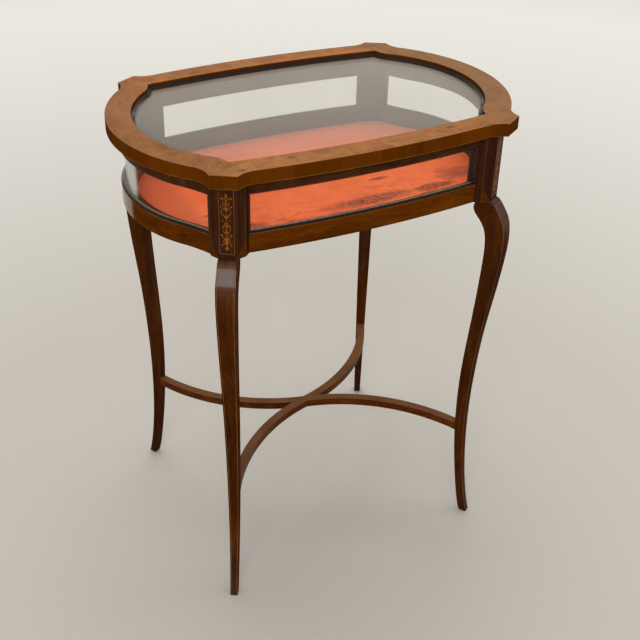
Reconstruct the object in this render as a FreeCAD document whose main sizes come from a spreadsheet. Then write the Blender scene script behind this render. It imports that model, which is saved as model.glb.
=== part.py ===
import FreeCAD, Part
import math
import os
import Sketcher

# Glazed display table on four cabriole legs. Origin on the floor under the centre, +X along the
# long side, the front (lock side) at -Y, +Z up. Millimetres and degrees.

doc = FreeCAD.newDocument("display_table")
sheet = doc.addObject("Spreadsheet::Sheet", "Sizes")

SIZES = {
    # heights
    "leg_height": 611.1,
    "case_height": 109.4,
    "lid_gap": 0.3,
    "lid_thick": 19.2,
    "bottom_rail": 28.5,
    "top_rail": 21.8,
    # plan of one corner: middle of the canted face, its width and the direction it faces
    "post_x": 214.3,
    "post_y": 181.1,
    "cant_width": 25.0,
    "cant_angle": 58.1,
    "front_strip_run": 15.5,
    "front_strip_drop": 3.6,
    "end_strip_out": 5.3,
    "end_strip_run": 12.5,
    # returns from the post's strips back to the walls that hold the windows
    "front_stile_run": 7.2,
    "front_stile_drop": 6.95,
    "end_stile_in": 1.0,
    "end_stile_run": 4.8,
    # bowed front, back and ends of the case
    "front_bow": 10.15,
    "end_bow": 42.5,
    "end_sweep_out": 18.7,
    "end_sweep_run": 34.0,
    "end_sweep_sag": 0.71,
    "end_joint_angle": 24.6,
    "end_turn_angle": 38.1,
    # section of the case's rails
    "rail_thick": 20.0,
    "glass_thick": 3.0,
    "glass_depth": 7.0,
    "bead_depth": 1.0,
    "ledge_drop": 4.0,
    "fillet_height": 2.5,
    "lip_thick": 4.0,
    "lip_root": 1.0,
    "rail_lip": 3.0,
    "stile_lip": 5.0,
    "bead_bevel": 2.2,
    "board_thick": 3.2,
    "board_seat": 8.0,
    "glass_gap": 0.2,
    "velvet_thick": 1.7,
    "velvet_gap": 0.3,
    # panel let into the canted face
    "panel_width": 20.0,
    "panel_thick": 1.2,
    "panel_foot": 4.5,
    "panel_head": 4.0,
    # leg
    "dowel_radius": 6.0,
    "dowel_length": 25.0,
    "dowel_inset": 12.0,
    "foot_width": 11.5,
    "knee_width": 27.7,
    "foot_out": 20.9,
    "foot_in": 7.9,
    "pastern_out": 11.9,
    "pastern_in": -1.1,
    "hock_out": 4.9,
    "hock_in": -8.1,
    "ankle_out": 0.4,
    "ankle_in": -14.1,
    "arm_out": -0.6,
    "arm_in": -15.8,
    "shin_out": -1.1,
    "shin_in": -17.1,
    "calf_out": 1.9,
    "calf_in": -15.6,
    "middle_out": 8.9,
    "middle_in": -9.6,
    "thigh_out": 18.4,
    "thigh_in": -4.1,
    "under_knee_out": 25.4,
    "under_knee_in": -0.6,
    "knee_out": 27.4,
    "knee_in": -0.9,
    "over_knee_out": 26.2,
    "over_knee_in": -4.6,
    "brow_out": 23.5,
    "brow_in": -12.1,
    "shoulder_out": 17.9,
    "shoulder_in": -22.3,
    "neck_out": 10.4,
    "block_depth": 24.1,
    # stretcher
    "arm_height": 177.5,
    "arm_deep": 13.0,
    "arm_wide": 14.0,
    "arm_sag": 30.5,
    "arm_let_in": 0.8,
    "tenon_wide": 7.0,
    "tenon_deep": 9.0,
    "tenon_length": 8.0,
    "tenon_root": 1.0,
    # lid
    "front_overhang": 20.8,
    "end_overhang": 15.5,
    "ear_overhang": 17.1,
    "ear_width": 37.0,
    "lid_scoop_run": 25.7,
    "lid_scoop_drop": 8.3,
    "lid_scoop_sag": 2.6,
    "lid_end_scoop_out": 12.5,
    "lid_end_scoop_run": 35.5,
    "lid_end_scoop_sag": 5.2,
    "lid_rail_width": 36.5,
    "mitre_length": 43.0,
    "inner_turn_out": 16.7,
    "inner_turn_run": 29.2,
    "inner_turn_sag": 3.0,
    "inner_turn_angle": 44.0,
    "lid_ledge": 5.5,
    "ledge_thick": 7.2,
    "corner_stretch": 1.22,
    "lid_glass_thick": 3.0,
    "lid_bead_thick": 5.0,
    "lid_bead_bevel": 3.2,
    "lid_bead_gap": 0.2,
    # hinges
    "hinge_x": 90.0,
    "hinge_length": 40.0,
    "hinge_set_out": 1.5,
    "knuckle_radius": 3.0,
    "knuckle_length": 14.0,
    "knuckle_gap": 0.3,
    "pin_radius": 1.5,
    "pin_clearance": 0.05,
    "leaf_thick": 1.5,
    "leaf_width": 22.0,
    "hinge_groove": 0.3,
    "hinge_screw_x": 13.0,
    "hinge_screw_y": 14.0,
    # screws
    "screw_radius": 1.2,
    "screw_head": 2.2,
    "head_thick": 1.0,
    "hinge_screw_length": 11.0,
    "floor_screw_length": 15.0,
    "floor_screw_x": 110.0,
    # lock
    "lock_width": 30.0,
    "lock_height": 16.5,
    "lock_wall": 8.0,
    "eye_thick": 2.0,
    "eye_width": 6.0,
    "eye_drop": 8.8,
    "eye_hole": 3.6,
    "eye_rim": 1.4,
    "eye_inset": 14.0,
    "eye_clearance": 1.0,
    "eye_side_gap": 0.4,
    "bolt_size": 3.0,
    "bolt_length": 10.4,
    "bolt_rest": 0.2,
    "bolt_gap": 0.1,
    "bolt_travel": 4.6,
    "plate_length": 18.0,
    "plate_width": 9.0,
    "plate_thick": 1.2,
    "plate_screw_x": 6.5,
    "lock_screw_x": 11.0,
    "lock_screw_rise": 4.0,
    "lock_screw_length": 17.0,
    "key_radius": 1.6,
    "key_slot": 1.8,
    "key_top": 9.2,
    "key_drop": 4.7,
    "key_depth": 1.0,
}

for row, (alias, number) in enumerate(SIZES.items(), start=1):
    sheet.set("A%d" % row, alias)
    sheet.set("B%d" % row, "%g" % number)
    sheet.setAlias("B%d" % row, alias)
doc.recompute()


class Val:
    """A size that knows its number and the sheet expression that gives it."""

    def __init__(self, number, text):
        self.number = float(number)
        self.text = text

    @staticmethod
    def of(value):
        if isinstance(value, Val):
            return value
        return Val(value, "(%.9g)" % value)

    def __add__(self, other):
        other = Val.of(other)
        return Val(self.number + other.number, "(%s + %s)" % (self.text, other.text))

    def __sub__(self, other):
        other = Val.of(other)
        return Val(self.number - other.number, "(%s - %s)" % (self.text, other.text))

    def __mul__(self, other):
        other = Val.of(other)
        return Val(self.number * other.number, "(%s * %s)" % (self.text, other.text))

    def __truediv__(self, other):
        other = Val.of(other)
        return Val(self.number / other.number, "(%s / %s)" % (self.text, other.text))

    def __neg__(self):
        return Val(-self.number, "(0 - %s)" % self.text)

    def __radd__(self, other):
        return Val.of(other) + self

    def __rsub__(self, other):
        return Val.of(other) - self

    def __rmul__(self, other):
        return Val.of(other) * self


def root(value):
    return Val(math.sqrt(value.number), "sqrt(%s)" % value.text)


def cosine(angle):
    return Val(math.cos(math.radians(angle.number)), "cos(%s)" % angle.text)


def sine(angle):
    return Val(math.sin(math.radians(angle.number)), "sin(%s)" % angle.text)


class Pt:
    """A point of a plan or profile."""

    def __init__(self, x, y):
        self.x = Val.of(x)
        self.y = Val.of(y)

    def __add__(self, other):
        return Pt(self.x + other.x, self.y + other.y)

    def __sub__(self, other):
        return Pt(self.x - other.x, self.y - other.y)

    def times(self, factor):
        return Pt(self.x * factor, self.y * factor)

    def flip(self, sx, sy):
        return Pt(self.x if sx > 0 else -self.x, self.y if sy > 0 else -self.y)


def flip(chain, sx, sy):
    """Mirror a chain of vertices and arc points."""
    return [None if item is None else item.flip(sx, sy) for item in chain]


class Named:
    """The sheet's sizes as attributes."""

    def __getattr__(self, alias):
        return Val(SIZES[alias], "Sizes." + alias)


N = Named()
ZERO = Val(0.0, "0")


# ---------------------------------------------------------------- plan of the case

FACE = Pt(cosine(N.cant_angle), sine(N.cant_angle))
ALONG = Pt(sine(N.cant_angle), -cosine(N.cant_angle))
CORNER = Pt(N.post_x, N.post_y)
CANT_FRONT = CORNER - ALONG.times(N.cant_width / 2)
CANT_END = CORNER + ALONG.times(N.cant_width / 2)
FRONT_POST = Pt(CANT_FRONT.x - N.front_strip_run, CANT_FRONT.y - N.front_strip_drop)
FRONT_END = Pt(FRONT_POST.x - N.front_stile_run, FRONT_POST.y - N.front_stile_drop)
SIDE_POST = Pt(CANT_END.x + N.end_strip_out, CANT_END.y - N.end_strip_run)
SIDE_END = Pt(SIDE_POST.x - N.end_stile_in, SIDE_POST.y - N.end_stile_run)
SIDE_TURN = Pt(SIDE_END.x + N.end_sweep_out, SIDE_END.y - N.end_sweep_run)
CASE_FRONT = FRONT_END.y + N.front_bow
CASE_END = SIDE_TURN.x + N.end_bow
SWEEP = root(N.end_sweep_out * N.end_sweep_out + N.end_sweep_run * N.end_sweep_run)
SWEEP_FACE = Pt(N.end_sweep_run / SWEEP, N.end_sweep_out / SWEEP)
SWEEP_MIDDLE = (SIDE_END + SIDE_TURN).times(0.5) - SWEEP_FACE.times(N.end_sweep_sag)
JOINT_FACE = Pt(cosine(N.end_joint_angle), sine(N.end_joint_angle))
TURN_FACE = Pt(cosine(N.end_turn_angle), sine(N.end_turn_angle))

CASE_TOP = N.leg_height + N.case_height
LID_FOOT = CASE_TOP + N.lid_gap
LID_TOP = LID_FOOT + N.lid_thick
RAIL_TOP = N.leg_height + N.bottom_rail
LIP_TOP = RAIL_TOP + N.rail_lip
LEDGE = RAIL_TOP - N.ledge_drop
FILLET_TOP = LEDGE + N.fillet_height
HEAD_FOOT = CASE_TOP - N.top_rail
LIP_FOOT = HEAD_FOOT - N.rail_lip
HEAD_SEAT = HEAD_FOOT + N.ledge_drop
FILLET_FOOT = HEAD_SEAT - N.fillet_height
BOARD_TOP = N.leg_height + N.board_thick
GLASS_BACK = N.glass_depth + N.glass_thick
LIP_BACK = GLASS_BACK + N.lip_thick


def front_chain(depth):
    """Bowed front or back of the case, set back by depth, from -X to +X on the +Y side."""
    right = Pt(FRONT_END.x, FRONT_END.y - depth)
    return [right.flip(-1, 1), Pt(ZERO, CASE_FRONT - depth), right]


def side_corner(depth):
    return SIDE_END - JOINT_FACE.times(depth)


def side_chain(depth):
    """Bowed end of the case, set back by depth, from -Y to +Y on the +X side."""
    depth = Val.of(depth)
    turn = SIDE_TURN - TURN_FACE.times(depth)
    middle = SWEEP_MIDDLE - SWEEP_FACE.times(depth)
    half = [turn, middle, side_corner(depth)]
    return flip(half[::-1], 1, -1) + [Pt(CASE_END - depth, ZERO)] + half


def band(chain, outer, inner):
    """Closed outline between two depths of one chain."""
    return chain(outer) + [None] + chain(inner)[::-1] + [None]


def ring(front, side, corner):
    """Closed outline round all four sides; corner gives the points between front and side."""
    loop = []
    for sx, sy in ((1, 1), (-1, -1)):
        loop += flip(front, sx, sy)
        loop += flip(corner, sx, sy)
        loop += flip(side[::-1], sx, sy)
        loop += flip(corner[::-1], sx, -sy)
    return loop


# ---------------------------------------------------------------- plan of the lid

EAR = CORNER + FACE.times(N.ear_overhang)
EAR_FRONT = EAR - ALONG.times(N.ear_width / 2)
EAR_END = EAR + ALONG.times(N.ear_width / 2)
LID_FRONT = CASE_FRONT + N.front_overhang
LID_END = CASE_END + N.end_overhang
LID_CORNER = EAR - FACE.times(N.mitre_length)
INNER_TURN = Pt(LID_CORNER.x + N.inner_turn_out, LID_CORNER.y - N.inner_turn_run)
INNER_RUN = root(N.inner_turn_out * N.inner_turn_out + N.inner_turn_run * N.inner_turn_run)
INNER_FACE = Pt(N.inner_turn_run / INNER_RUN, N.inner_turn_out / INNER_RUN)
INNER_MIDDLE = (LID_CORNER + INNER_TURN).times(0.5) - INNER_FACE.times(N.inner_turn_sag)
INNER_TURN_FACE = Pt(cosine(N.inner_turn_angle), sine(N.inner_turn_angle))


def lid_front_outer():
    scoop = Pt(EAR_FRONT.x - N.lid_scoop_run, EAR_FRONT.y - N.lid_scoop_drop)
    middle = (scoop + EAR_FRONT).times(0.5) - Pt(ZERO, N.lid_scoop_sag)
    half = [scoop, middle, EAR_FRONT, None, EAR]
    return flip(half[::-1], -1, 1) + [Pt(ZERO, LID_FRONT)] + half


def lid_side_outer():
    scoop = Pt(EAR_END.x + N.lid_end_scoop_out, EAR_END.y - N.lid_end_scoop_run)
    middle = (scoop + EAR_END).times(0.5) - Pt(N.lid_end_scoop_sag, ZERO)
    half = [scoop, middle, EAR_END, None, EAR]
    return flip(half[::-1], 1, -1) + [Pt(LID_END, ZERO)] + half


def lid_corner(depth):
    return LID_CORNER - FACE.times(N.corner_stretch * depth)


def lid_front_inner(depth):
    corner = lid_corner(depth)
    return [corner.flip(-1, 1), Pt(ZERO, LID_FRONT - N.lid_rail_width - depth), corner]


def lid_side_inner(depth):
    depth = Val.of(depth)
    turn = INNER_TURN - INNER_TURN_FACE.times(depth)
    middle = INNER_MIDDLE - INNER_FACE.times(depth)
    half = [turn, middle, lid_corner(depth)]
    return flip(half[::-1], 1, -1) + [Pt(LID_END - N.lid_rail_width - depth, ZERO)] + half


def lid_rail_outline(outer, inner):
    return outer + [None] + inner[::-1] + [None]


# ---------------------------------------------------------------- modelling helpers

NODES = {}


def keep(name, obj):
    """Name a finished sub-part."""
    obj.Label = name
    NODES[name] = obj
    return obj


def new_body(name):
    body = doc.addObject("PartDesign::Body", name)
    body.Label = name
    return body


def origin_plane(body, role):
    for feature in body.Origin.OriginFeatures:
        if feature.Role == role:
            return feature
    raise RuntimeError(role)


def bind_point(sketch, geometry, position, point):
    """Hold a point of the sketch at its place from the sheet."""
    for kind, axis, value in (("DistanceX", -2, point.x), ("DistanceY", -1, point.y)):
        if value.text == "0":
            sketch.addConstraint(Sketcher.Constraint("PointOnObject", geometry, position, axis))
            continue
        index = sketch.addConstraint(
            Sketcher.Constraint(kind, -1, 1, geometry, position, value.number))
        sketch.setExpression("Constraints[%d]" % index, value.text)


def vector(point):
    return FreeCAD.Vector(point.x.number, point.y.number, 0)


def arc_through(start, middle, stop):
    """Anticlockwise arc through three points, and whether it runs from start to stop."""
    centre = Part.Arc(start, middle, stop).toShape().Curve.Center
    forward = (middle - start).cross(stop - middle).z > 0
    first, last = (start, stop) if forward else (stop, start)
    angles = [math.atan2(end.y - centre.y, end.x - centre.x) for end in (first, last)]
    if angles[1] < angles[0]:
        angles[1] += 2 * math.pi
    circle = Part.Circle(centre, FreeCAD.Vector(0, 0, 1), centre.distanceToPoint(start))
    return Part.ArcOfCircle(circle, angles[0], angles[1]), forward


def draw(sketch, loop):
    """Draw a closed loop: vertices with the point of an arc, or None for a line, between them."""
    corners = loop[0::2]
    between = loop[1::2]
    ends = []
    for index, start in enumerate(corners):
        stop = corners[(index + 1) % len(corners)]
        middle = between[index]
        forward = True
        if middle is None:
            curve = Part.LineSegment(vector(start), vector(stop))
        else:
            curve, forward = arc_through(vector(start), vector(middle), vector(stop))
        geometry = sketch.addGeometry(curve, False)
        ends.append((geometry, 1, 2) if forward else (geometry, 2, 1))
    for index, (geometry, begin, end) in enumerate(ends):
        following, start, other = ends[(index + 1) % len(ends)]
        sketch.addConstraint(Sketcher.Constraint("Coincident", geometry, end, following, start))
        bind_point(sketch, geometry, begin, corners[index])
        if between[index] is not None:
            mark = sketch.addGeometry(Part.Point(vector(between[index])), True)
            bind_point(sketch, mark, 1, between[index])
            sketch.addConstraint(Sketcher.Constraint("PointOnObject", mark, 1, geometry))


def draw_circle(sketch, centre, radius):
    circle = Part.Circle(vector(centre), FreeCAD.Vector(0, 0, 1), radius.number)
    geometry = sketch.addGeometry(circle, False)
    bind_point(sketch, geometry, 3, centre)
    index = sketch.addConstraint(Sketcher.Constraint("Radius", geometry, radius.number))
    sketch.setExpression("Constraints[%d]" % index, radius.text)


def level_sketch(body, name, height):
    """A horizontal sketch of the body at a height."""
    sketch = body.newObject("Sketcher::SketchObject", name)
    sketch.AttachmentSupport = [(origin_plane(body, "XY_Plane"), "")]
    sketch.MapMode = "FlatFace"
    sketch.setExpression("AttachmentOffset.Base.z", height.text)
    return sketch


def pad(body, label, loop, low, high):
    """Add the outline between two heights."""
    low = Val.of(low)
    sketch = level_sketch(body, label + "_sketch", low)
    if isinstance(loop, tuple):
        draw_circle(sketch, loop[0], loop[1])
    else:
        draw(sketch, loop)
    feature = body.newObject("PartDesign::Pad", label)
    feature.Profile = sketch
    feature.setExpression("Length", (high - low).text)
    sketch.Visibility = False
    return feature


def bevel(body, label, low_loop, high_loop, low, high):
    """Add a straight-sided transition between two outlines."""
    sections = []
    for end, loop, height in (("low", low_loop, low), ("high", high_loop, high)):
        sketch = level_sketch(body, "%s_%s" % (label, end), height)
        draw(sketch, loop)
        sketch.Visibility = False
        sections.append(sketch)
    feature = body.newObject("PartDesign::AdditiveLoft", label)
    feature.Profile = sections[0]
    feature.Sections = sections[1:]
    feature.Ruled = True
    return feature


def turned(body, angle):
    """Stand the body at the opposite side by turning it about the middle of the table."""
    body.Placement = FreeCAD.Placement(
        FreeCAD.Vector(0, 0, 0), FreeCAD.Rotation(FreeCAD.Vector(0, 0, 1), angle))


def place(obj, x, y, z):
    obj.setExpression("Placement.Base.x", Val.of(x).text)
    obj.setExpression("Placement.Base.y", Val.of(y).text)
    obj.setExpression("Placement.Base.z", Val.of(z).text)


def block(name, x_low, x_high, y_low, y_high, z_low, z_high):
    obj = doc.addObject("Part::Box", name)
    obj.setExpression("Length", (x_high - x_low).text)
    obj.setExpression("Width", (y_high - y_low).text)
    obj.setExpression("Height", (z_high - z_low).text)
    place(obj, x_low, y_low, z_low)
    return obj


TURNS = {
    "Z": FreeCAD.Rotation(),
    "X": FreeCAD.Rotation(FreeCAD.Vector(0, 1, 0), 90),
    "Y": FreeCAD.Rotation(FreeCAD.Vector(1, 0, 0), -90),
    "-Z": FreeCAD.Rotation(FreeCAD.Vector(1, 0, 0), 180),
    "-Y": FreeCAD.Rotation(FreeCAD.Vector(1, 0, 0), 90),
}


def rod(name, radius, length, x, y, z, axis):
    obj = doc.addObject("Part::Cylinder", name)
    obj.setExpression("Radius", radius.text)
    obj.setExpression("Height", length.text)
    obj.Placement = FreeCAD.Placement(FreeCAD.Vector(0, 0, 0), TURNS[axis])
    place(obj, x, y, z)
    return obj


def fuse(name, pieces):
    obj = doc.addObject("Part::MultiFuse", name)
    obj.Shapes = pieces
    obj.Refine = True
    return obj


def group(name, pieces):
    obj = doc.addObject("Part::Compound", name)
    obj.Links = pieces
    return obj


def cut(name, base, tools):
    """The base less its tools."""
    tool = tools[0] if len(tools) == 1 else group(name + "_tools", tools)
    obj = doc.addObject("Part::Cut", name)
    obj.Base = base
    obj.Tool = tool
    obj.Refine = True
    return obj


def screw(name, length, x, y, z, axis):
    """A screw whose head's flat lies at x, y, z and whose shank runs along the axis."""
    head = rod(name + "_head", N.screw_head, N.head_thick, x, y, z, axis)
    shank = rod(name + "_shank", N.screw_radius, length, x, y, z, axis)
    return fuse(name, [head, shank])


CORNERS = {
    "front_left": (-1, -1),
    "front_right": (1, -1),
    "back_left": (-1, 1),
    "back_right": (1, 1),
}
SIDES = {"back": ("front", 0), "front": ("front", 180), "right": ("side", 0), "left": ("side", 180)}


# ---------------------------------------------------------------- screws under the floor

def floor_screws():
    inset = N.rail_thick - N.board_seat / 2
    share = (N.floor_screw_x * N.floor_screw_x) / (FRONT_END.x * FRONT_END.x)
    spots = []
    for sx in (-1, 1):
        for sy in (-1, 1):
            spots.append(Pt(N.floor_screw_x, CASE_FRONT - N.front_bow * share - inset).flip(sx, sy))
        spots.append(Pt(CASE_END - inset, ZERO).flip(sx, 1))
    pieces = []
    for index, spot in enumerate(spots, start=1):
        pieces.append(screw("floor_screw_%d" % index, N.floor_screw_length,
                            spot.x, spot.y, N.leg_height, "Z"))
    return keep("floor_screws", group("floor_screws", pieces))


FLOOR_SCREWS = floor_screws()


# ---------------------------------------------------------------- case rails, glass and beads

def bottom_rail(side, kind, angle):
    chain = front_chain if kind == "front" else side_chain
    body = new_body("%s_bottom_rail_blank" % side)
    seat = N.rail_thick - N.board_seat
    pad(body, side + "_rail_foot", band(chain, ZERO, seat), N.leg_height, BOARD_TOP)
    pad(body, side + "_rail_main", band(chain, ZERO, N.rail_thick), BOARD_TOP, LEDGE)
    pad(body, side + "_rail_cheek", band(chain, ZERO, N.glass_depth), LEDGE, RAIL_TOP)
    pad(body, side + "_rail_fillet", band(chain, GLASS_BACK, LIP_BACK), LEDGE, FILLET_TOP)
    turned(body, angle)
    name = "case_%s_bottom_rail" % side
    return keep(name, cut(name, body, [FLOOR_SCREWS]))


def top_rail(side, kind, angle):
    chain = front_chain if kind == "front" else side_chain
    body = new_body("case_%s_top_rail" % side)
    pad(body, side + "_head_main", band(chain, ZERO, N.rail_thick), HEAD_SEAT, CASE_TOP)
    pad(body, side + "_head_cheek", band(chain, ZERO, N.glass_depth), HEAD_FOOT, HEAD_SEAT)
    pad(body, side + "_head_fillet", band(chain, GLASS_BACK, LIP_BACK), FILLET_FOOT, HEAD_SEAT)
    turned(body, angle)
    return body


def side_glass(side, kind, angle):
    chain = front_chain if kind == "front" else side_chain
    body = new_body("case_%s_glass" % side)
    low = LEDGE + N.glass_gap
    high = HEAD_SEAT - N.glass_gap
    pad(body, side + "_pane", band(chain, N.glass_depth, GLASS_BACK), low, high)
    turned(body, angle)
    return keep("case_%s_glass" % side, body)


def upright_bead(kind, sy):
    """Plan of the bead beside a post: full width at the glass, bevelled to the outside."""
    nose = N.stile_lip - N.bead_bevel
    if kind == "front":
        outer = Pt(FRONT_END.x, FRONT_END.y - N.bead_depth)
        inner = Pt(FRONT_END.x, FRONT_END.y - N.glass_depth)
        step = Pt(-1.0, 0.0)
        rise = Pt(ZERO, N.front_bow * N.stile_lip * 2 / FRONT_END.x)
        return flip([outer, None, outer + step.times(nose), None,
                     inner + step.times(N.stile_lip) + rise, None, inner, None], sy, 1)
    step = Pt(JOINT_FACE.y, -JOINT_FACE.x)
    outer = side_corner(N.bead_depth)
    inner = side_corner(N.glass_depth)
    lift = N.stile_lip * N.stile_lip * N.end_sweep_sag * 5 / (SWEEP * SWEEP)
    return flip([outer, None, outer + step.times(nose), None,
                 inner + step.times(N.stile_lip) + JOINT_FACE.times(lift), None,
                 inner, None], 1, sy)


def bead_bar(name, chain, foot, tip, angle):
    """Bead along a rail, square from its foot and then bevelled back to its tip."""
    body = new_body(name)
    square = band(chain, N.bead_depth, N.glass_depth)
    narrow = band(chain, N.bead_depth + N.bead_bevel, N.glass_depth)
    if tip.number > foot.number:
        shoulder = tip - N.bead_bevel
        pad(body, name + "_bar", square, foot, shoulder)
        bevel(body, name + "_bevel", square, narrow, shoulder, tip)
    else:
        shoulder = tip + N.bead_bevel
        pad(body, name + "_bar", square, shoulder, foot)
        bevel(body, name + "_bevel", narrow, square, tip, shoulder)
    turned(body, angle)
    return body


def side_beads(side, kind, angle):
    chain = front_chain if kind == "front" else side_chain
    lower = bead_bar(side + "_lower_bead", chain, RAIL_TOP, LIP_TOP, angle)
    upper = bead_bar(side + "_upper_bead", chain, HEAD_FOOT, LIP_FOOT, angle)
    pieces = [lower, upper]
    for label, sign in (("first", 1), ("second", -1)):
        body = new_body("%s_%s_bead" % (side, label))
        pad(body, "%s_%s_bar" % (side, label), upright_bead(kind, sign), LIP_TOP, LIP_FOOT)
        turned(body, angle)
        pieces.append(body)
    name = "case_%s_beads" % side
    return keep(name, group(name, pieces))


TOP_RAILS = {}
for side, (kind, angle) in SIDES.items():
    bottom_rail(side, kind, angle)
    TOP_RAILS[side] = top_rail(side, kind, angle)
    side_glass(side, kind, angle)
    side_beads(side, kind, angle)


# ---------------------------------------------------------------- corner posts and panels

def facing(sx, sy):
    """Direction of a corner's canted face as an angle about +Z."""
    if sx > 0:
        return N.cant_angle if sy > 0 else -N.cant_angle
    return 180 - N.cant_angle if sy > 0 else 180 + N.cant_angle


def corner_panel(corner, sx, sy):
    obj = doc.addObject("Part::Box", "panel_" + corner)
    obj.setExpression("Length", N.panel_thick.text)
    obj.setExpression("Width", N.panel_width.text)
    obj.setExpression("Height", (N.case_height - N.panel_foot - N.panel_head).text)
    angle = facing(sx, sy)
    across = Pt(-sine(angle), cosine(angle))
    base = CORNER.flip(sx, sy) - FACE.flip(sx, sy).times(N.panel_thick)
    base = base - across.times(N.panel_width / 2)
    obj.Placement = FreeCAD.Placement(
        FreeCAD.Vector(0, 0, 0), FreeCAD.Rotation(FreeCAD.Vector(0, 0, 1), angle.number))
    obj.setExpression("Placement.Rotation.Angle", angle.text)
    place(obj, base.x, base.y, N.leg_height + N.panel_foot)
    return keep("panel_" + corner, obj)


def leg_dowel(corner, sx, sy):
    spot = (CORNER - FACE.times(N.dowel_inset)).flip(sx, sy)
    return rod("dowel_" + corner, N.dowel_radius, N.dowel_length, spot.x, spot.y, N.leg_height, "Z")


def corner_post(corner, sx, sy):
    body = new_body("post_%s_blank" % corner)
    front_inner = Pt(FRONT_END.x, FRONT_END.y - N.rail_thick)
    outline = [FRONT_END, None, FRONT_POST, None, CANT_FRONT, None, CANT_END, None,
               SIDE_POST, None, SIDE_END, None,
               side_corner(N.rail_thick), None, front_inner, None]
    pad(body, corner + "_post", flip(outline, sx, sy), N.leg_height, CASE_TOP)
    front_lip = [Pt(FRONT_END.x + N.lip_root, FRONT_END.y - GLASS_BACK), None,
                 Pt(FRONT_END.x - N.stile_lip, FRONT_END.y - GLASS_BACK), None,
                 Pt(FRONT_END.x - N.stile_lip, FRONT_END.y - LIP_BACK), None,
                 Pt(FRONT_END.x + N.lip_root, FRONT_END.y - LIP_BACK), None]
    pad(body, corner + "_front_lip", flip(front_lip, sx, sy), FILLET_TOP, FILLET_FOOT)
    step = Pt(JOINT_FACE.y, -JOINT_FACE.x)
    side_lip = [side_corner(GLASS_BACK) - step.times(N.lip_root), None,
                side_corner(GLASS_BACK) + step.times(N.stile_lip), None,
                side_corner(LIP_BACK) + step.times(N.stile_lip), None,
                side_corner(LIP_BACK) - step.times(N.lip_root), None]
    pad(body, corner + "_side_lip", flip(side_lip, sx, sy), FILLET_TOP, FILLET_FOOT)
    return body


for corner, (sx, sy) in CORNERS.items():
    panel = corner_panel(corner, sx, sy)
    dowel = leg_dowel(corner, sx, sy)
    name = "post_" + corner
    keep(name, cut(name, corner_post(corner, sx, sy), [panel, dowel]))


# ---------------------------------------------------------------- floor and lining

def floor_board():
    body = new_body("floor_board_blank")
    seat = N.rail_thick - N.board_seat
    front_inner = Pt(FRONT_END.x, FRONT_END.y - N.rail_thick)
    corner = [None, front_inner, None, side_corner(N.rail_thick), None]
    front = front_chain(seat)
    side = side_chain(seat)
    pad(body, "board", ring(front, side, corner), N.leg_height, BOARD_TOP)
    return keep("floor_board", cut("floor_board", body, [FLOOR_SCREWS]))


def velvet_lining():
    body = new_body("velvet_lining")
    depth = N.rail_thick + N.velvet_gap
    low = BOARD_TOP + N.velvet_gap
    pad(body, "velvet", ring(front_chain(depth), side_chain(depth), [None]),
        low, low + N.velvet_thick)
    return keep("velvet_lining", body)


floor_board()
velvet_lining()


# ---------------------------------------------------------------- stretcher

ARM_LOW = N.arm_height - N.arm_deep / 2
ARM_HIGH = N.arm_height + N.arm_deep / 2
ARM_END = CORNER + FACE.times(N.arm_in + N.arm_let_in)


def arm_outline():
    """Plan of one S-shaped member from the front left leg to the back right leg."""
    length = root(ARM_END.x * ARM_END.x + ARM_END.y * ARM_END.y)
    heading = Pt(ARM_END.x / length, ARM_END.y / length)
    left = Pt(-heading.y, heading.x)
    slope = N.arm_sag * 2 / length
    whole = slope * slope + 1
    cos_turn = (1 - slope * slope) / whole
    sin_turn = slope * 2 / whole
    start_left = left.times(cos_turn) + heading.times(sin_turn)
    middle = ARM_END.times(0.5) - left.times(N.arm_sag)
    half = N.arm_wide / 2
    centre_left = start_left.times(half)
    upper = [centre_left, middle + left.times(half), ARM_END - ALONG.times(half)]
    lower = [ARM_END + ALONG.times(half), middle - left.times(half), start_left.times(-half)]
    return upper, lower


def arm_loop(sx):
    """Closed plan of a member; sx -1 gives the one from front right to back left."""
    upper, lower = arm_outline()
    near = upper + [None] + lower
    away = flip(near, -1, -1)
    return flip(near[:-1] + away[:-1], sx, 1)


def arm_tenon(sx, end):
    half = N.tenon_wide / 2
    root_point = ARM_END - FACE.times(N.tenon_root)
    tip = ARM_END + FACE.times(N.tenon_length)
    loop = [root_point - ALONG.times(half), None, tip - ALONG.times(half), None,
            tip + ALONG.times(half), None, root_point + ALONG.times(half), None]
    return flip(loop, sx * end, end)


def arm_body(name, sx):
    body = new_body(name)
    pad(body, name + "_bar", arm_loop(sx), ARM_LOW, ARM_HIGH)
    for label, end in (("near", -1), ("far", 1)):
        low = N.arm_height - N.tenon_deep / 2
        pad(body, "%s_%s_tenon" % (name, label), arm_tenon(sx, end), low, low + N.tenon_deep)
    return body


def half_lap(name, sx, low, high):
    body = new_body(name)
    pad(body, name + "_lap", arm_loop(sx), low, high)
    return body


rising = arm_body("stretcher_a_blank", 1)
falling = arm_body("stretcher_b_blank", -1)
STRETCHER_A = keep("stretcher_front_left_back_right", cut(
    "stretcher_front_left_back_right", rising, [half_lap("upper_lap", -1, N.arm_height, ARM_HIGH)]))
STRETCHER_B = keep("stretcher_front_right_back_left", cut(
    "stretcher_front_right_back_left", falling, [half_lap("lower_lap", 1, ARM_LOW, N.arm_height)]))


# ---------------------------------------------------------------- cabriole legs

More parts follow.
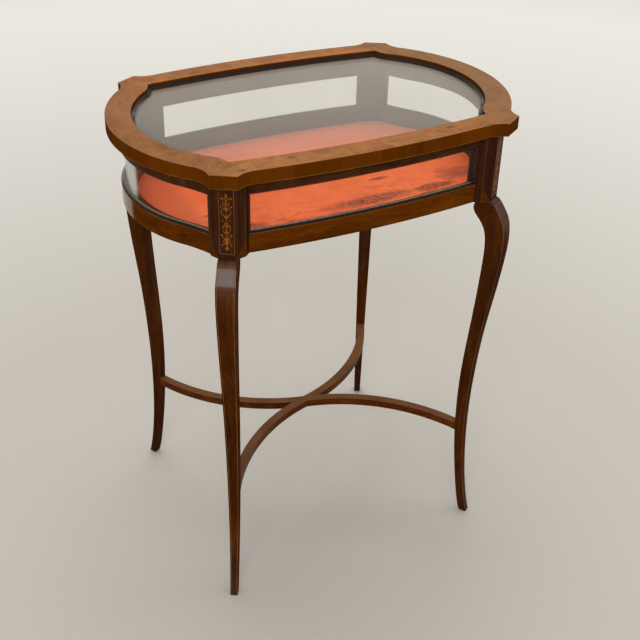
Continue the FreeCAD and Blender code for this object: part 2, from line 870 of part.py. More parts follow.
def leg_stations():
    """Height, outer face, inner face and width of the leg from the floor to the case."""
    reach = N.leg_height - N.arm_height
    knee = reach * 0.9237 + N.arm_height
    plain = [
        (ZERO, N.foot_out, N.foot_in),
        (N.arm_height * 0.225, N.pastern_out, N.pastern_in),
        (N.arm_height * 0.507, N.hock_out, N.hock_in),
        (N.arm_height * 0.845, N.ankle_out, N.ankle_in),
        (N.arm_height, N.arm_out, N.arm_in),
        (reach * 0.098 + N.arm_height, N.shin_out, N.shin_in),
        (reach * 0.2828 + N.arm_height, N.calf_out, N.calf_in),
        (reach * 0.4667 + N.arm_height, N.middle_out, N.middle_in),
        (reach * 0.6283 + N.arm_height, N.thigh_out, N.thigh_in),
        (reach * 0.7667 + N.arm_height, N.under_knee_out, N.under_knee_in),
        (reach * 0.8546 + N.arm_height, N.knee_out, N.knee_in),
        (reach * 0.894 + N.arm_height, N.over_knee_out, N.over_knee_in),
        (knee, N.brow_out, N.brow_in),
    ]
    stations = []
    for height, outer, inner in plain:
        width = N.foot_width + (N.knee_width - N.foot_width) * height / knee
        stations.append((height, outer, inner, width))
    narrowing = N.knee_width - N.cant_width
    stations.append((reach * 0.9516 + N.arm_height, N.shoulder_out, N.shoulder_in,
                     N.knee_width - narrowing * 0.2))
    stations.append((reach * 0.9788 + N.arm_height, N.neck_out, -N.block_depth,
                     N.knee_width - narrowing * 0.5))
    stations.append((N.leg_height, ZERO, -N.block_depth, N.cant_width))
    return stations


def leg(corner, sx, sy):
    body = new_body("leg_%s_blank" % corner)
    sections = []
    for index, (height, outer, inner, width) in enumerate(leg_stations()):
        sketch = level_sketch(body, "%s_section_%d" % (corner, index), height)
        half = width / 2
        draw(sketch, [Pt(outer, -half), None, Pt(outer, half), None,
                      Pt(inner, half), None, Pt(inner, -half), None])
        sketch.Visibility = False
        sections.append(sketch)
    loft = body.newObject("PartDesign::AdditiveLoft", corner + "_shaft")
    loft.Profile = sections[0]
    loft.Sections = sections[1:]
    pad(body, corner + "_dowel", (Pt(-N.dowel_inset, ZERO), N.dowel_radius),
        N.leg_height, N.leg_height + N.dowel_length)
    angle = facing(sx, sy)
    body.Placement = FreeCAD.Placement(
        FreeCAD.Vector(0, 0, 0), FreeCAD.Rotation(FreeCAD.Vector(0, 0, 1), angle.number))
    body.setExpression("Placement.Rotation.Angle", angle.text)
    place(body, CORNER.flip(sx, sy).x, CORNER.flip(sx, sy).y, ZERO)
    member = STRETCHER_A if sx == sy else STRETCHER_B
    name = "leg_" + corner
    return keep(name, cut(name, body, [member]))


for corner, (sx, sy) in CORNERS.items():
    leg(corner, sx, sy)


# ---------------------------------------------------------------- hinges

PIN_Y = CASE_FRONT + N.hinge_set_out
PIN_Z = CASE_TOP + N.lid_gap / 2


def hinge(side, sign):
    """Butt hinge: the case leaf has the outer knuckles, the lid leaf the middle one."""
    middle = N.hinge_x if sign > 0 else -N.hinge_x
    low = middle - N.hinge_length / 2
    high = middle + N.hinge_length / 2
    inner_low = middle - N.knuckle_length / 2
    inner_high = middle + N.knuckle_length / 2
    clear = N.knuckle_radius + N.knuckle_gap
    bore = rod(side + "_bore", N.pin_radius, N.hinge_length, low, PIN_Y, PIN_Z, "X")
    loose = rod(side + "_loose_bore", N.pin_radius + N.pin_clearance, N.hinge_length,
                low, PIN_Y, PIN_Z, "X")
    outer_length = N.hinge_length / 2 - N.knuckle_length / 2 - N.knuckle_gap
    case_leaf = fuse(side + "_case_leaf_blank", [
        block(side + "_case_plate", low, high, PIN_Y - N.leaf_width, PIN_Y,
              CASE_TOP - N.leaf_thick, CASE_TOP),
        rod(side + "_case_knuckle_a", N.knuckle_radius, outer_length, low, PIN_Y, PIN_Z, "X"),
        rod(side + "_case_knuckle_b", N.knuckle_radius, outer_length,
            inner_high + N.knuckle_gap, PIN_Y, PIN_Z, "X"),
    ])
    case_notch = block(side + "_case_notch", inner_low - N.knuckle_gap, inner_high + N.knuckle_gap,
                       PIN_Y - clear, PIN_Y + clear, PIN_Z - clear, PIN_Z + clear)
    lid_leaf = fuse(side + "_lid_leaf_blank", [
        cut(side + "_lid_plate_cut",
            block(side + "_lid_plate", low, high, PIN_Y - N.leaf_width, PIN_Y,
                  LID_FOOT, LID_FOOT + N.leaf_thick),
            [block(side + "_lid_notch_a", low - 1, inner_low,
                   PIN_Y - clear, PIN_Y + clear, PIN_Z - clear, PIN_Z + clear),
             block(side + "_lid_notch_b", inner_high, high + 1,
                   PIN_Y - clear, PIN_Y + clear, PIN_Z - clear, PIN_Z + clear)]),
        rod(side + "_lid_knuckle", N.knuckle_radius, N.knuckle_length,
            inner_low, PIN_Y, PIN_Z, "X"),
    ])
    case_screws = []
    lid_screws = []
    for index, step in enumerate((-N.hinge_screw_x, N.hinge_screw_x), start=1):
        x = middle + step
        y = PIN_Y - N.hinge_screw_y
        case_screws.append(screw("%s_case_screw_%d" % (side, index), N.hinge_screw_length,
                                 x, y, CASE_TOP, "-Z"))
        lid_screws.append(screw("%s_lid_screw_%d" % (side, index), N.hinge_screw_length,
                                x, y, LID_FOOT, "Z"))
    keep("hinge_%s_case_leaf" % side,
         cut("hinge_%s_case_leaf" % side, case_leaf, [case_notch, bore] + case_screws))
    keep("hinge_%s_lid_leaf" % side,
         cut("hinge_%s_lid_leaf" % side, lid_leaf, [loose] + lid_screws))
    keep("hinge_%s_pin" % side, rod("hinge_%s_pin" % side, N.pin_radius, N.hinge_length,
                                    low, PIN_Y, PIN_Z, "X"))
    groove = rod(side + "_groove", clear, N.hinge_length + N.hinge_groove * 2,
                 low - N.hinge_groove, PIN_Y, PIN_Z, "X")
    case_seat = block(side + "_case_seat", low, high, PIN_Y - N.leaf_width, PIN_Y,
                      CASE_TOP - N.leaf_thick, CASE_TOP)
    lid_seat = block(side + "_lid_seat", low, high, PIN_Y - N.leaf_width, PIN_Y,
                     LID_FOOT, LID_FOOT + N.leaf_thick)
    return [case_seat, groove] + case_screws, [lid_seat, groove] + lid_screws, case_screws, lid_screws


case_cuts = []
lid_cuts = []
case_screws = []
lid_screws = []
for side, sign in (("left", -1), ("right", 1)):
    found = hinge(side, sign)
    case_cuts += found[0]
    lid_cuts += found[1]
    case_screws += found[2]
    lid_screws += found[3]
keep("hinge_case_screws", group("hinge_case_screws", case_screws))
keep("hinge_lid_screws", group("hinge_lid_screws", lid_screws))
keep("case_back_top_rail", cut("case_back_rail_cut", TOP_RAILS["back"], case_cuts))


# ---------------------------------------------------------------- lock and striker

EYE_Y = CASE_FRONT - N.eye_inset
BOLT_Z = LID_FOOT - N.eye_drop + N.eye_rim + N.eye_hole / 2


def lock_parts():
    """Lock let into the inside of the front rail; its bolt slides through the striker's eye."""
    low = CASE_TOP - N.lock_height
    front = -(CASE_FRONT - N.lock_wall)
    back = -(CASE_FRONT - N.rail_thick)
    half = N.lock_width / 2
    room = block("lock_room", -half, half, front, back + 1, low, CASE_TOP + 1)
    case = block("lock_block", -half, half, front, back, low, CASE_TOP)
    slot_half = N.eye_thick / 2 + N.eye_side_gap
    eye_low = LID_FOOT - N.eye_drop
    slot = block("eye_slot", -slot_half, slot_half, -EYE_Y - N.eye_width / 2 - N.eye_clearance,
                 -EYE_Y + N.eye_width / 2 + N.eye_clearance, eye_low - N.eye_clearance,
                 CASE_TOP + 1)
    tip = -slot_half - N.bolt_rest
    half_bolt = N.bolt_size / 2
    half_channel = half_bolt + N.bolt_gap
    tail = tip - N.bolt_length
    channel = block("bolt_channel", tail - N.bolt_gap, tip + N.bolt_travel + N.bolt_rest,
                    -EYE_Y - half_channel, -EYE_Y + half_channel,
                    BOLT_Z - half_channel, BOLT_Z + half_channel)
    bolt = block("lock_bolt", tail, tip, -EYE_Y - half_bolt, -EYE_Y + half_bolt,
                 BOLT_Z - half_bolt, BOLT_Z + half_bolt)
    key_z = CASE_TOP - N.key_top
    key_length = N.lock_wall + N.key_depth + 1
    key_y = front + N.key_depth - key_length
    keyhole = fuse("keyhole", [
        rod("keyhole_round", N.key_radius, key_length, ZERO, key_y, key_z, "Y"),
        block("keyhole_slot", -N.key_slot / 2, N.key_slot / 2, key_y, key_y + key_length,
              key_z - N.key_drop, key_z),
    ])
    screws = []
    for index, x in enumerate((-N.lock_screw_x, N.lock_screw_x), start=1):
        screws.append(screw("lock_screw_%d" % index, N.lock_screw_length, x, back,
                            low + N.lock_screw_rise, "-Y"))
    keep("lock_screws", group("lock_screws", screws))
    keep("lock_bolt", bolt)
    keep("lock_case", cut("lock_case", case, [slot, channel, keyhole] + screws))
    keep("case_front_top_rail",
         cut("case_front_rail_cut", TOP_RAILS["front"], [room, keyhole] + screws))


def striker_parts():
    half = N.plate_length / 2
    plate = block("striker_flat", -half, half, -EYE_Y - N.plate_width / 2,
                  -EYE_Y + N.plate_width / 2, LID_FOOT, LID_FOOT + N.plate_thick)
    eye = block("striker_eye", -N.eye_thick / 2, N.eye_thick / 2, -EYE_Y - N.eye_width / 2,
                -EYE_Y + N.eye_width / 2, LID_FOOT - N.eye_drop, LID_FOOT + N.plate_thick)
    window = block("striker_window", -N.eye_thick, N.eye_thick, -EYE_Y - N.eye_hole / 2,
                   -EYE_Y + N.eye_hole / 2, BOLT_Z - N.eye_hole / 2, BOLT_Z + N.eye_hole / 2)
    screws = []
    for index, x in enumerate((-N.plate_screw_x, N.plate_screw_x), start=1):
        screws.append(screw("striker_screw_%d" % index, N.hinge_screw_length, x, -EYE_Y,
                            LID_FOOT, "Z"))
    seat = block("striker_seat", -half, half, -EYE_Y - N.plate_width / 2,
                 -EYE_Y + N.plate_width / 2, LID_FOOT, LID_FOOT + N.plate_thick)
    keep("striker_plate", cut("striker_plate", fuse("striker_blank", [plate, eye]),
                              [window] + screws))
    keep("striker_screws", group("striker_screws", screws))
    return [seat] + screws


lock_parts()
striker_cuts = striker_parts()
keep("case_left_top_rail", TOP_RAILS["left"])
keep("case_right_top_rail", TOP_RAILS["right"])


# ---------------------------------------------------------------- lid

LEDGE_TOP = LID_FOOT + N.ledge_thick
LID_GLASS_TOP = LEDGE_TOP + N.lid_glass_thick


def lid_rail(side, kind, angle, cuts):
    if kind == "front":
        outer = lid_front_outer()
        inner = lid_front_inner
    else:
        outer = lid_side_outer()
        inner = lid_side_inner
    blank = "lid_%s_rail" % side
    body = new_body(blank + ("_blank" if cuts else ""))
    pad(body, side + "_ledge", lid_rail_outline(outer, inner(N.lid_ledge)), LID_FOOT, LEDGE_TOP)
    pad(body, side + "_frame", lid_rail_outline(outer, inner(ZERO)), LEDGE_TOP, LID_TOP)
    turned(body, angle)
    if cuts:
        return keep(blank, cut(blank, body, cuts))
    return keep(blank, body)


lid_rail("back", "front", 0, lid_cuts)
lid_rail("front", "front", 180, striker_cuts)
lid_rail("right", "side", 0, [])
lid_rail("left", "side", 180, [])


def lid_glass():
    body = new_body("lid_glass")
    front = lid_front_inner(N.lid_bead_gap)
    side = lid_side_inner(N.lid_bead_gap)
    top = front + side[::-1][1:]
    loop = top + flip(front[::-1], 1, -1)[1:] + flip(side, -1, 1)[1:-1]
    pad(body, "lid_pane", loop, LEDGE_TOP, LID_GLASS_TOP)
    return keep("lid_glass", body)


def lid_bead(side, kind, angle):
    inner = lid_front_inner if kind == "front" else lid_side_inner
    name = "lid_%s_bead" % side
    body = new_body(name)
    square = band(inner, N.lid_bead_gap, N.lid_ledge)
    narrow = band(inner, N.lid_bead_gap, N.lid_ledge - N.lid_bead_bevel)
    tip = LID_GLASS_TOP + N.lid_bead_thick
    pad(body, name + "_bar", square, LID_GLASS_TOP, tip - N.lid_bead_bevel)
    bevel(body, name + "_bevel", square, narrow, tip - N.lid_bead_bevel, tip)
    turned(body, angle)
    return keep(name, body)


lid_glass()
for side, (kind, angle) in SIDES.items():
    lid_bead(side, kind, angle)


# ---------------------------------------------------------------- check and write

doc.recompute()
failed = []
for obj in doc.Objects:
    if "Invalid" in obj.State or "Error" in obj.State:
        failed.append(obj.Name)
for name, obj in NODES.items():
    if obj.Shape.isNull() or not obj.Shape.isValid():
        failed.append(name + " shape")
if failed:
    raise RuntimeError("failed objects: " + ", ".join(failed))
os.makedirs("parts", exist_ok=True)
for name, obj in NODES.items():
    obj.Shape.exportStep(os.path.join("parts", name + ".step"))
    print("%-34s %2d solid(s) %12.1f mm3" % (name, len(obj.Shape.Solids), obj.Shape.Volume))
print(len(NODES), "sub-parts")
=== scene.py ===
"""Dresses a glazed display table: woods, inlay, glass, brass, velvet, light and camera."""

import logging
import math
from dataclasses import dataclass
from enum import Enum
from functools import partial, reduce
from typing import Callable, Dict, List, Sequence, Tuple

import bpy
from mathutils import Matrix, Vector


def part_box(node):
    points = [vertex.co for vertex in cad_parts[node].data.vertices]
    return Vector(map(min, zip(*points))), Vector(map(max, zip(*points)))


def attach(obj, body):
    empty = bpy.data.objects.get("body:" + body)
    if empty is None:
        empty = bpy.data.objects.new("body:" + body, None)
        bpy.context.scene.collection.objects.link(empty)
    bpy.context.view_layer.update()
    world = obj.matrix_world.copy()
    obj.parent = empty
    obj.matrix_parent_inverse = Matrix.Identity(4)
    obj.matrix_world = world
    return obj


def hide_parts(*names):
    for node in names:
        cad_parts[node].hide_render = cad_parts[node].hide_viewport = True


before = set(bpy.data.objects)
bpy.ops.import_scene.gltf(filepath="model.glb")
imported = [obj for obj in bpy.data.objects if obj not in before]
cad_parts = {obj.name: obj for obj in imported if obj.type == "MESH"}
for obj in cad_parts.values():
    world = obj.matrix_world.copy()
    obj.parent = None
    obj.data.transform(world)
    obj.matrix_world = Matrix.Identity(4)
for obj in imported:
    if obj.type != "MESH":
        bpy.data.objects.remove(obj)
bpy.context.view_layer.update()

LOG = logging.getLogger("display_table")
MM = 0.001
UP = 2

Triple = Tuple[float, float, float]
Colour = Triple
Oval = Tuple[float, float, float, float]
Socket = bpy.types.NodeSocket
Node = bpy.types.Node
Material = bpy.types.Material
Piece = bpy.types.Object
FaceTest = Callable[[Vector, Vector], bool]


class Body(str, Enum):
    """The bodies that new pieces ride on."""

    CASE = "case"


class Grain(Enum):
    """The axis that a board's grain follows."""

    X = 0
    Y = 1
    Z = 2


# The sides of the case and the lid, each with its rails' grain.
SIDES = {"front": Grain.X, "back": Grain.X, "left": Grain.Y, "right": Grain.Y}


def linear(colour: Colour) -> Tuple[float, ...]:
    """Turns a screen colour into the shader's.

    Args:
        colour: Screen values from 0 to 255.

    Returns:
        The linear colour with full alpha.
    """
    shares = [value / 255 for value in colour]
    return tuple(share / 12.92 if share <= 0.04045 else ((share + 0.055) / 1.055) ** 2.4
                 for share in shares) + (1.0,)


# ---- shader building


@dataclass(frozen=True)
class WoodTone:
    """Colours of one wood from its dark lines to its light figure."""

    deep: Colour
    middle: Colour
    light: Colour


MAHOGANY = WoodTone((34, 13, 2), (61, 28, 6), (89, 45, 13))
STRETCHER_WOOD = WoodTone((44, 17, 0), (76, 34, 2), (104, 54, 12))
RAIL_WOOD = WoodTone((50, 21, 0), (79, 37, 0), (103, 55, 1))
TOP_RAIL_WOOD = WoodTone((34, 15, 5), (58, 30, 12), (82, 47, 22))
ROSEWOOD = WoodTone((31, 13, 6), (52, 26, 14), (69, 38, 21))
HONEY = WoodTone((110, 63, 30), (140, 87, 47), (164, 110, 62))
LID_EDGE = WoodTone((54, 24, 0), (78, 37, 0), (98, 50, 0))
BOXWOOD = WoodTone((80, 43, 8), (108, 63, 17), (134, 85, 32))
GILDED_WOOD = WoodTone((84, 42, 2), (124, 68, 8), (152, 94, 26))
PINE = WoodTone((104, 70, 38), (138, 98, 56), (164, 122, 76))

# A wood's figure: its noises' fineness and share, the colours' places, and its relief.
GRAIN_STRETCH = 0.07
FIBRE_SCALE, FIGURE_SCALE, CLOUD_SCALE = 620, 85, 16
FIBRE_SHARE, FIGURE_SHARE, CLOUD_SHARE = 0.42, 0.36, 0.22
TONE_PLACES = (0.36, 0.5, 0.66)
GRAIN_DEPTH = 0.4 * MM

# A pale line's figure and strength, rubbed wood's roughness, the turn at which gloss
# begins, and a blot's fineness and the wandering of its edge.
LINE_FIGURE = 0.6
LINE_AMOUNT = 0.8
RUBBED_GLOSS = (0.35, 0.7, 0.3, 0.46)
EDGE_ON = (0.66, 0.71)
BLOT_SCALE = 0.45
BLOT_WANDER = 0.9


class Nodes:
    """Short calls for the nodes of one tree."""

    def __init__(self, tree: bpy.types.NodeTree) -> None:
        """Takes the tree that the nodes go into."""
        self.tree = tree

    def put(self, socket: Socket, value: object) -> None:
        """Sets a socket, or links it where the value is a socket.

        Args:
            socket: The input.
            value: Its number, vector or colour, or the output that feeds it.
        """
        if isinstance(value, Socket):
            self.tree.links.new(value, socket)
        else:
            socket.default_value = value

    def fill(self, node: Node, values: Dict[str, object]) -> Node:
        """Sets a node's sockets.

        Args:
            node: The node.
            values: The sockets' values by name, with underscores for spaces.

        Returns:
            The same node.
        """
        for name, value in values.items():
            self.put(node.inputs[name.replace("_", " ")], value)
        return node

    def node(self, kind: str, **values: object) -> Node:
        """Adds a node of the kind and sets its sockets."""
        return self.fill(self.tree.nodes.new("ShaderNode" + kind), values)

    def calc(self, kind: str, first: object, second: object = 0.0) -> Socket:
        """Works out one sum.

        Args:
            kind: The Math node's operation.
            first: Its first value.
            second: Its second value, where it takes one.

        Returns:
            The result.
        """
        node = self.node("Math")
        node.operation = kind
        self.put(node.inputs[0], first)
        self.put(node.inputs[1], second)
        return node.outputs[0]

    def plus(self, *values: object) -> Socket:
        """The values added up."""
        return reduce(partial(self.calc, "ADD"), values)

    def times(self, *values: object) -> Socket:
        """The values multiplied."""
        return reduce(partial(self.calc, "MULTIPLY"), values)

    def most(self, *values: object) -> Socket:
        """The highest of the values."""
        return reduce(partial(self.calc, "MAXIMUM"), values)

    def squares(self, first: Socket, second: Socket) -> Socket:
        """Two values' squares added up."""
        return self.plus(self.times(first, first), self.times(second, second))

    def within(self, value: Socket, low: float, high: float) -> Socket:
        """One where the value lies between two limits, and otherwise nothing."""
        return self.times(self.calc("GREATER_THAN", value, low),
                          self.calc("LESS_THAN", value, high))


class Recipe(Nodes):
    """One material and short calls for its nodes."""

    def __init__(self, name: str) -> None:
        """Starts a material with its Principled shader.

        Args:
            name: The material's name.
        """
        self.material = bpy.data.materials.new(name)
        self.material.use_nodes = True
        super().__init__(self.material.node_tree)
        self.coords = self.node("TexCoord").outputs
        self.plain = self.coords["Object"]

    def set(self, **values: object) -> Material:
        """Sets the shader's sockets and gives the material back."""
        self.fill(self.tree.nodes["Principled BSDF"], values)
        return self.material

    def parts(self, source: str) -> Tuple[Socket, ...]:
        """The x, y and z of one of the texture coordinates."""
        return tuple(self.node("SeparateXYZ", Vector=self.coords[source]).outputs)

    def place(self, scale: Sequence[float], turn: Sequence[float] = (0, 0, 0),
              shift: Sequence[float] = (0, 0, 0)) -> Socket:
        """Object coordinates, scaled, turned in degrees and shifted in metres."""
        return self.node("Mapping", Vector=self.plain, Scale=scale, Location=shift,
                         Rotation=[math.radians(angle) for angle in turn]).outputs[0]

    def noise(self, vector: Socket, scale: float, detail: float = 3, rough: float = 0.5,
              distort: float = 0.0) -> Socket:
        """A noise's value: its fineness, its finer layers, their strength and its stir."""
        return self.node("TexNoise", Vector=vector, Scale=scale, Detail=detail,
                         Roughness=rough, Distortion=distort).outputs["Fac"]

    def span(self, value: object, low: float, high: float, start: float = 0.0,
             end: float = 1.0) -> Socket:
        """A value mapped from low and high to start and end, and kept between them."""
        return self.node("MapRange", Value=value, From_Min=low, From_Max=high,
                         To_Min=start, To_Max=end).outputs["Result"]

    def ramp(self, value: Socket, places: Sequence[float],
             colours: Sequence[Colour]) -> Socket:
        """Colours a value.

        Args:
            value: The value.
            places: Values from 0 to 1 that have a colour of their own.
            colours: Their screen colours.

        Returns:
            The colour.
        """
        node = self.node("ValToRGB", Fac=value)
        marks = node.color_ramp.elements
        while len(marks) < len(places):
            marks.new(0.5)
        for mark, place, colour in zip(marks, places, colours):
            mark.position = place
            mark.color = linear(colour)
        return node.outputs["Color"]

    def mix(self, amount: object, first: Socket, second: object) -> Socket:
        """Lays one colour over another.

        Args:
            amount: How much of the second shows.
            first: The colour below.
            second: The screen colour or socket laid over it.

        Returns:
            The mixed colour.
        """
        node = self.node("Mix")
        node.data_type = "RGBA"
        second = second if isinstance(second, Socket) else linear(second)
        for index, value in ((0, amount), (6, first), (7, second)):
            self.put(node.inputs[index], value)
        return node.outputs[2]

    def bump(self, height: Socket, strength: float, depth: float) -> Socket:
        """A bump normal from a height; the depth is in metres."""
        return self.node("Bump", Strength=strength, Distance=depth,
                         Height=height).outputs["Normal"]

    def facing(self) -> Socket:
        """How far the surface turns away, for gloss and glass: 0 head on, 1 edge on."""
        return self.node("LayerWeight", Blend=0.5).outputs["Facing"]

    def blots(self, ovals: Sequence[Oval]) -> Socket:
        """Soft marks with wandering edges on a level face.

        Args:
            ovals: Each mark's middle, x and y, and half sizes, in metres.

        Returns:
            The marks' strength, 1 in their middles.
        """
        along, deep, _ = self.parts("Object")
        marks = []
        for x, y, half_x, half_y in ovals:
            reach = self.squares(
                self.calc("DIVIDE", self.calc("SUBTRACT", along, x), half_x),
                self.calc("DIVIDE", self.calc("SUBTRACT", deep, y), half_y))
            wander = self.noise(self.plain, BLOT_SCALE / half_x, 3, 0.6)
            wander = self.span(wander, 0.25, 0.75, -BLOT_WANDER, BLOT_WANDER)
            reach = self.plus(reach, wander)
            marks.append(self.span(reach, 0.05, 1.0, 1.0, 0.0))
        return self.most(*marks)

    def wood(self, tone: WoodTone, grain: Grain, size: float = 1.0,
             shift: float = 0.0) -> Tuple[Socket, Socket]:
        """Builds a wood's figure.

        Args:
            tone: The wood's colours.
            grain: The axis that the grain follows.
            size: Larger values make a broader figure.
            shift: Moves the pattern so that boards differ.

        Returns:
            The colour and the fine fibre for bump and gloss.
        """
        scale = [1.0, 1.0, 1.0]
        scale[grain.value] = GRAIN_STRETCH
        vector = self.place(scale, shift=(shift, shift * 0.7, shift * 1.3))
        fibre = self.noise(vector, FIBRE_SCALE / size, 5, 0.62)
        figure = self.noise(vector, FIGURE_SCALE / size, 3, 0.55, 0.6)
        cloud = self.noise(self.plain, CLOUD_SCALE / size, 2, 0.5)
        blend = self.plus(self.times(fibre, FIBRE_SHARE), self.times(figure, FIGURE_SHARE),
                          self.times(cloud, CLOUD_SHARE))
        return self.ramp(blend, TONE_PLACES, (tone.deep, tone.middle, tone.light)), fibre

    def polish(self, colour: Socket, fibre: Socket, rough: object, coat: object,
               relief: float = 0.08, shine: float = 0.0, coat_ior: float = 1.5,
               coat_rough: float = 0.16) -> Material:
        """Finishes a wood.

        Args:
            colour, fibre: Its colour, and the fibre that gives its relief.
            rough, coat: The bare wood's roughness, and how much polish lies on it.
            relief, shine: How strongly the fibre stands out, and the bare wood's shine.
            coat_ior, coat_rough: How strongly the polish mirrors, and how dull it is.

        Returns:
            The material.
        """
        return self.set(Base_Color=colour, Roughness=rough,
                        Normal=self.bump(fibre, relief, GRAIN_DEPTH),
                        Specular_IOR_Level=shine, Coat_Weight=coat, Coat_IOR=coat_ior,
                        Coat_Roughness=coat_rough)


@dataclass(frozen=True)
class PolishedWood:
    """A polished wood with one grain direction."""

    name: str
    tone: WoodTone
    grain: Grain
    size: float = 1.0
    gloss: float = 0.34
    coat: float = 0.06
    shift: float = 0.0

    def make(self) -> Material:
        """Builds the material.

        Returns:
            The material.
        """
        recipe = Recipe(self.name)
        colour, fibre = recipe.wood(self.tone, self.grain, self.size, self.shift)
        wear = recipe.noise(recipe.plain, 55, 4, 0.6)
        rough = recipe.span(wear, 0.35, 0.7, self.gloss - 0.05, self.gloss + 0.12)
        return recipe.polish(colour, fibre, rough, self.coat, shine=0.02)


@dataclass(frozen=True)
class LegWood:
    """A leg: mahogany, glossier over the knee and darker at the toe."""

    name: str = "leg_mahogany"
    knee_coat: float = 0.32
    shank_coat: float = 0.03
    toe_height: float = 50.0 * MM
    toe_amount: float = 0.75
    toe: Colour = (44, 27, 16)

    def make(self) -> Material:
        """Builds the material.

        Returns:
            The material.
        """
        recipe = Recipe(self.name)
        colour, fibre = recipe.wood(MAHOGANY, Grain.Z, size=1.2)
        scuff = recipe.noise(recipe.plain, 90, 4, 0.6)
        toe = recipe.span(recipe.parts("Object")[UP], self.toe_height,
                          self.toe_height * 0.3, 0.0, self.toe_amount)
        toe = recipe.times(toe, recipe.span(scuff, 0.3, 0.6, 0.5, 1.0))
        knee = recipe.span(recipe.parts("Normal")[UP], 0.04, 0.3, self.shank_coat,
                           self.knee_coat)
        return recipe.polish(recipe.mix(toe, colour, self.toe), fibre,
                             recipe.span(scuff, *RUBBED_GLOSS), knee, coat_ior=1.7)


@dataclass(frozen=True)
class StretcherWood:
    """A stretcher arm, painted paler on its upward faces as painted light from above."""

    name: str = "stretcher_mahogany"
    painted_top_light: Colour = (122, 84, 54)
    amount: float = 0.7

    def make(self) -> Material:
        """Builds the material.

        Returns:
            The material.
        """
        recipe = Recipe(self.name)
        colour, fibre = recipe.wood(STRETCHER_WOOD, Grain.X, size=1.1, shift=0.15)
        rub_and_light = recipe.noise(recipe.plain, 24, 4, 0.6)
        # Painted light: the upward faces are mixed towards a paler colour where light from
        # above falls on them and shines off them.
        top = recipe.span(recipe.parts("Normal")[UP], 0.5, 0.9, 0.0, self.amount)
        top = recipe.times(top, recipe.span(rub_and_light, 0.3, 0.6, 0.6, 1.0))
        return recipe.polish(recipe.mix(top, colour, self.painted_top_light), fibre,
                             recipe.span(rub_and_light, *RUBBED_GLOSS), 0.1, shine=0.02)


@dataclass(frozen=True)
class RailWood:
    """A case rail: polished wood with a painted highlight along its upper arris, coloured as
    a pale boxwood line.
    """

    name: str
    grain: Grain
    arris_glint_low: float = 638.4 * MM
    arris_glint_high: float = 639.7 * MM

    def make(self) -> Material:
        """Builds the material.

        Returns:
            The material.
        """
        recipe = Recipe(self.name)
        colour, fibre = recipe.wood(RAIL_WOOD, self.grain, size=1.2, shift=0.21)
        # Painted highlight: the pale band along the upper arris stands for the light that the
        # arris catches.
        pale, _ = recipe.wood(BOXWOOD, self.grain, LINE_FIGURE)
        line = recipe.within(recipe.parts("Object")[UP], self.arris_glint_low, self.arris_glint_high)
        colour = recipe.mix(recipe.times(line, LINE_AMOUNT), colour, pale)
        polish = recipe.span(recipe.facing(), *EDGE_ON, 0.02, 0.9)
        return recipe.polish(colour, fibre, 0.36, polish, coat_ior=1.9, coat_rough=0.12)


@dataclass(frozen=True)
class PostWood:
    """A corner post: dark wood over the rails' mitred ends, pale lines beside the windows."""

    name: str = "post_wood"
    front_line: float = 188.2 * MM
    front_from: float = 180.0 * MM
    side_line: float = 162.0 * MM
    side_from: float = 224.0 * MM
    line: float = 1.1 * MM
    rail_top: float = 639.6 * MM
    rail_foot: float = 611.1 * MM
    front_run: float = 15.5 * MM
    side_run: float = 12.5 * MM

    def make(self) -> Material:
        """Builds the material.

        Returns:
            The material.
        """
        recipe = Recipe(self.name)
        dark, fibre = recipe.wood(ROSEWOOD, Grain.Z, size=0.8, shift=0.4)
        pale, _ = recipe.wood(BOXWOOD, Grain.Z, LINE_FIGURE)
        rail, _ = recipe.wood(RAIL_WOOD, Grain.X, size=1.2, shift=0.21)
        x, y, height = recipe.parts("Object")
        across, deep = recipe.calc("ABSOLUTE", x), recipe.calc("ABSOLUTE", y)
        mitre = recipe.most(
            self.mitre(recipe, across, self.front_line, self.front_run, height),
            self.mitre(recipe, deep, self.side_line, self.side_run, height))
        line = recipe.most(
            self.band(recipe, across, self.front_line, deep, self.front_from),
            self.band(recipe, deep, self.side_line, across, self.side_from))
        wood = recipe.mix(recipe.times(mitre, 0.7), dark, rail)
        wood = recipe.mix(recipe.times(line, 0.45), wood, pale)
        return recipe.polish(wood, fibre, 0.36, 0.04, relief=0.06)

    def mitre(self, recipe: Recipe, run: Socket, start: float, length: float,
              height: Socket) -> Socket:
        """One below the slanting end of a rail.

        Args:
            recipe: The material being made.
            run, height: Distance across the strip, and height.
            start, length: Where the slant begins at the rail's top, and how far it runs.

        Returns:
            The mitre's mask.
        """
        part = recipe.calc("DIVIDE", recipe.calc("SUBTRACT", run, start), length)
        edge = recipe.calc("SUBTRACT", self.rail_top,
                           recipe.times(part, self.rail_top - self.rail_foot))
        return recipe.times(recipe.calc("LESS_THAN", height, edge),
                            recipe.calc("GREATER_THAN", part, 0.0))

    def band(self, recipe: Recipe, run: Socket, start: float, reach: Socket,
             limit: float) -> Socket:
        """One where the line lies.

        Args:
            recipe: The material being made.
            run, start: Distance across the line, and where the line begins.
            reach, limit: Distance out from the middle, and the least that carries it.

        Returns:
            The line's mask.
        """
        return recipe.times(recipe.within(run, start, start + self.line),
                            recipe.calc("GREATER_THAN", reach, limit))


